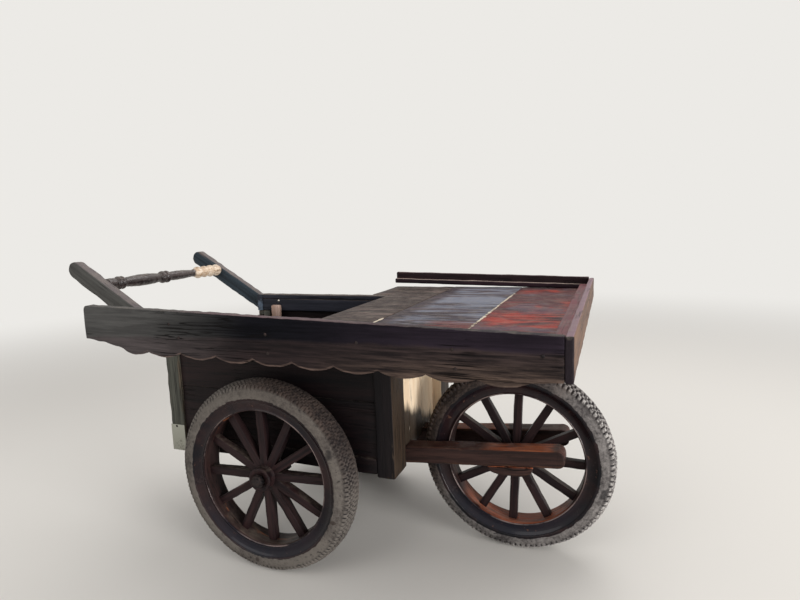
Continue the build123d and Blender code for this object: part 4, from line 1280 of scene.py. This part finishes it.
# The left board is straight up to its first cusp, and its top edge is level
LEFT_FIRST_CUSP = 0.144
LEFT_STRAIGHT_END = 0.143
LEFT_LOBE_COUNT = 6
low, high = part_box("side_board_left")
left_rear = low.x - REAR_AXLE_X
after_corner = np.linspace(CORNER_END, LEFT_STRAIGHT_END - left_rear, 4)[:-1]
straight_x = left_rear + np.concatenate([CORNER_STEPS, after_corner])
before = (straight_x, cusp_z(straight_x))
left_board = scalloped_board(LEFT_FIRST_CUSP, LEFT_LOBE_COUNT, left_rear, before, FRONT_LEFT_Z,
                             lambda x: np.full(len(x), high.z), low.y, high.y)
add_piece("scalloped_board_left", [left_board], side_paint, "timber_dark", "cart", "side_board_left")

# Front board and strip: a bare board across the deck's front end that stands above it, and a batten
# nailed along its foot.
low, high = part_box("front_board")
HALF_FRONT = high.y
across_steps = stations(high.y - low.y)
lower = FRONT_RIGHT_Z + (FRONT_LEFT_Z - FRONT_RIGHT_Z) * across_steps / (high.y - low.y)
path = np.column_stack([np.full(len(across_steps), (low.x + high.x) / 2), low.y + across_steps,
                        (lower + high.z) / 2])


def dark_ends(shade, colour, fibre, streak, blotch):
    """The side boards' purple-black paint carried over the board's ends."""
    away = shade.place().part(1).distance_from(0) + 0.004 * (fibre - 0.5)
    end = away.above(HALF_FRONT - 0.006, HALF_FRONT - 0.003)
    return end.between(colour, fibre.between(rgb(20, 16, 20), rgb(38, 30, 35)))


front_wood = aged_timber("tan_front_board", rgb(112, 84, 66), rgb(66, 48, 42), rgb(150, 120, 96),
                         rgb(114, 88, 98), worn=0.15, rubbed=0.1, repaint=dark_ends)
board = carried(path, (1, 0, 0), (0, 0, 1), (high.x - low.x) / 2, (high.z - lower) / 2)
add_piece("front_board_plank", [board], front_wood, "timber_pale", "cart", "front_board")

strip_paint = aged_timber("purple_brown_paint", rgb(104, 44, 54), rgb(70, 32, 42), rgb(112, 82, 86),
                          worn=0.2)
add_timber("front_batten", "front_strip", 1, strip_paint, "timber_dark")

# Left rail: a plank on edge and a batten beside it, with rounded rear ends that have sprung up off the
# deck, dark purple brown.
RAIL_HEIGHT = 0.047
RAIL_STRIP_HEIGHT = 0.020
# Height of the plank's top edge over the deck, at its rear end and at its front end
RAIL_RISES = (0.066, 0.044)
rail_paint = aged_timber("dark_rail_paint", rgb(42, 24, 27), rgb(24, 15, 18), rgb(92, 70, 66),
                         rgb(70, 44, 46), worn=0.15, rubbed=0.3)
# The batten's pale top tone is painted light on the face that looks up
batten_paint = aged_timber("batten_paint_painted_light_top", rgb(42, 25, 32), rgb(24, 16, 21), rgb(92, 70, 66),
                           rgb(150, 132, 124), worn=0.15, rubbed=0.3)


def rail_shape(node, height):
    """A bar whose edges run straight from its sprung rear end, cut flat where it meets the deck."""
    low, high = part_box(node)
    along = stations(high.x - low.x)
    share = along / along[-1]
    under = DECK_TOP + RAIL_RISES[0] - RAIL_HEIGHT + (RAIL_RISES[1] - RAIL_RISES[0]) * share
    top = under + height
    under = np.maximum(under, DECK_TOP)
    return between_edges(low.x + along, low.y, high.y, under, top, 0.004)


add_piece("left_rail_plank", [rail_shape("rail_left", RAIL_HEIGHT)], rail_paint, "timber_dark", "cart",
          "rail_left")
add_piece("left_rail_batten", [rail_shape("rail_strip_left", RAIL_STRIP_HEIGHT)], batten_paint,
          "timber_dark", "cart", "rail_strip_left")

# Handle: two plank arms with round tips, spiked to the outside of the joists, and a turned crossbar
# between them with beads and a belly. Its left end has lost its paint and is lumpy bare wood.


def blue_black_inside(shade, colour, fibre, streak, blotch):
    """The blue-black paint of the joists on the faces that look at each other."""
    face_y = shade.vector("face").part(1)
    side_y = shade.place().part(1)
    inward = (0.0 - face_y * side_y.math("SIGN", side_y)).above(0.4, 0.8)
    return inward.between(colour, streak.above(0.3, 0.7).between(rgb(30, 36, 41), rgb(54, 64, 72)))


handle_paint = aged_timber("handle_paint", rgb(78, 77, 74), rgb(56, 55, 53), rgb(98, 88, 84), rgb(98, 90, 90),
                           worn=0.2, rubbed=0.45, repaint=blue_black_inside)
HANDLE_DEPTH = 0.060
# Height of the tips' middle over the deck, and where the arms leave the posts' tops
HANDLE_TIP_RISE = 0.155
HANDLE_ROOT_X = x_at(-0.403)
TIP_STEPS = 10
ARM_STEPS = 22
LEAST_TIP_HALF = 0.001
low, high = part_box("handle_arm_right")
TIP_X = low.x + HANDLE_DEPTH / 2
HANDLE_TIP_Z = DECK_TOP + HANDLE_TIP_RISE
handle_slope = math.atan2(HANDLE_TIP_Z - POST_TOP, HANDLE_ROOT_X - TIP_X)
arm_way = np.array([math.cos(handle_slope), 0.0, -math.sin(handle_slope)])
arm_up = np.array([math.sin(handle_slope), 0.0, math.cos(handle_slope)])
arm_length = (HANDLE_TIP_Z - POST_TOP) / math.sin(handle_slope)
tip_half = HANDLE_DEPTH / 2
tip_steps = tip_half * (1 - np.cos(np.linspace(0, math.pi / 2, TIP_STEPS)))
along = np.concatenate([tip_steps, np.linspace(tip_half, tip_half + arm_length, ARM_STEPS)[1:]])
from_centre = np.clip(tip_half - along, 0.0, None)
half_depth = np.sqrt(np.maximum(tip_half ** 2 - from_centre ** 2, LEAST_TIP_HALF ** 2))
tip = np.array([TIP_X, 0.0, HANDLE_TIP_Z])
for name in SIDES:
    low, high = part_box(f"handle_arm_{name}")
    path = tip + (along - tip_half)[:, None] * arm_way + np.array([0.0, (low.y + high.y) / 2, 0.0])
    arm = carried(path, (0, 1, 0), arm_up, (high.y - low.y) / 2, half_depth, radius=0.006, wear=0.0012)
    add_piece(f"handle_plank_{name}", [arm], handle_paint, "timber_dark", "cart", f"handle_arm_{name}")

low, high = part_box("crossbar")
bar_centre = ((low.x + high.x) / 2, 0.0, (low.z + high.z) / 2)
BAR_HALF = 0.292
BAR_STEPS = 300
# Distance across the cart, and the radius that the bar is turned to there
BAR_TURNING = np.array([
    (-BAR_HALF, 0.020), (-0.262, 0.020), (-0.256, 0.015), (-0.252, 0.0195), (-0.247, 0.0235),
    (-0.242, 0.0235), (-0.238, 0.0185), (-0.234, 0.0225), (-0.229, 0.0235), (-0.224, 0.0205),
    (-0.219, 0.0165), (-0.190, 0.0190), (-0.150, 0.0215), (-0.110, 0.0215), (-0.070, 0.0185),
    (-0.050, 0.0155), (-0.045, 0.0215), (-0.038, 0.0235), (-0.032, 0.0225), (-0.028, 0.0180),
    (-0.023, 0.0225), (-0.016, 0.0240), (-0.010, 0.0220), (-0.004, 0.0165), (0.030, 0.0185),
    (0.080, 0.0175), (0.120, 0.0140), (0.135, 0.0150), (0.150, 0.0215), (BAR_HALF, 0.0220)])
BARE_FROM = 0.135
LUMP_HEIGHT = 0.003
LUMP_PITCH = 0.038
bar_steps = np.linspace(-BAR_HALF, BAR_HALF, BAR_STEPS)
bar_radius = np.interp(bar_steps, BAR_TURNING[:, 0], BAR_TURNING[:, 1])
lumpy = LUMP_HEIGHT * np.clip((bar_steps - BARE_FROM) / 0.02, 0, 1)
bar_radius = bar_radius + lumpy * np.sin(bar_steps * 2 * math.pi / LUMP_PITCH)


def bare_left_end(shade, colour, fibre, streak, blotch):
    """Bare cream wood over the bar's left end, with a ragged edge."""
    side_y = shade.place().part(1)
    bare = (side_y + 0.02 * (blotch - 0.5) + 0.02 * (fibre - 0.5)).above(BARE_FROM - 0.006, BARE_FROM + 0.006)
    cream = (0.5 * blotch + 0.5 * fibre).above(0.4, 0.6).between(rgb(176, 146, 116), rgb(232, 216, 196))
    return bare.between(colour, cream)


bar_paint = aged_timber("worn_crossbar_wood", rgb(66, 54, 51), rgb(31, 26, 27), rgb(116, 100, 92), worn=0.2,
                        dusty=0.3, rough=0.3, shine=0.5, repaint=bare_left_end)
crossbar = turned_bar(bar_centre, bar_steps, bar_radius, lumps=0.0005, seed=7)
add_piece("turned_crossbar", [crossbar], bar_paint, "timber_turned", "cart", "crossbar")

# Fittings: a thin weathered metal plate nailed on the right rear post, and on the left joist a strap of
# blued steel and a cleat of pale wood.
plate_metal = old_steel("weathered_plate_metal", rgb(160, 160, 150), rgb(112, 104, 92), rusty=0.3, rough=0.6)
strap_steel = old_steel("blued_strap_steel", rgb(92, 104, 120), rgb(34, 38, 48), rusty=0.55, rough=0.5)
cleat_wood = aged_timber("pale_cleat_wood", rgb(188, 162, 150), rgb(150, 120, 104), rgb(206, 182, 168),
                         worn=0.3)
add_timber("post_metal_plate", "post_plate", 2, plate_metal, "plate_metal", radius=0.0008, wear=0.0, bow=0.0)
add_timber("joist_metal_strap", "joist_strap", 2, strap_steel, "steel", radius=0.001, wear=0.0, bow=0.0)
add_timber("joist_pale_cleat", "joist_cleat", 2, cleat_wood, "timber_pale", radius=0.005)

# Nail heads: round iron heads driven through the long board, the plate and the joists into the timber
# behind, rusty but for a whitened one on the inside of the left joist.
NAIL_RADIUS = 0.0042
NAIL_RISE = 0.0016
NAIL_SEGMENTS = 14
# Place along the cart and height of the nails in the long board, of the plate's one and of the white one
BOARD_NAILS = ((-0.226, 0.8165), (-0.195, 0.780), (0.080, 0.800), (0.084, 0.752), (0.330, 0.790),
               (0.560, 0.785), (0.566, 0.742), (0.752, 0.780))
PLATE_NAIL = (-0.5115, 0.398)
WHITE_NAIL = (-0.431, 0.759)
# Half the distance between the two nails over each post
PAIR_HALF = 0.012


def nail_head(x, y, z, outward_y):
    """A shallow dome on a face that looks sideways: its radius shrinks by a cosine as it rises by a sine."""
    rise = np.linspace(0, math.pi / 2, 5)[:-1]
    radius = NAIL_RADIUS * np.concatenate([[0.9], np.cos(rise)])
    height = NAIL_RISE * np.concatenate([[-0.8], np.sin(rise)])
    return turned_bar((x, y, z), outward_y * height, radius, NAIL_SEGMENTS)


board_face = -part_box("front_board")[1].y
plate_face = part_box("post_plate")[0].y
joist_z = (joist_box["left"][0].z + joist_box["left"][1].z) / 2
dark_nails = [nail_head(x, board_face, z, -1) for x, z in BOARD_NAILS]
dark_nails.append(nail_head(PLATE_NAIL[0], plate_face, PLATE_NAIL[1], -1))
for side in SIDES.values():
    for low, high in post_boxes.values():
        middle = (low.x + high.x) / 2
        dark_nails += [nail_head(x, side * JOIST_OUTER, joist_z, side)
                       for x in (middle - PAIR_HALF, middle + PAIR_HALF)]
add_piece("dark_nail_heads", dark_nails, axle_steel, "steel", "cart")

nail_white = old_steel("whitened_nail", rgb(214, 210, 200), rgb(150, 138, 124), rusty=0.2)
white_nail = nail_head(WHITE_NAIL[0], JOIST_INNER, WHITE_NAIL[1], -1)
add_piece("white_nail_heads", [white_nail], nail_white, "steel", "cart")
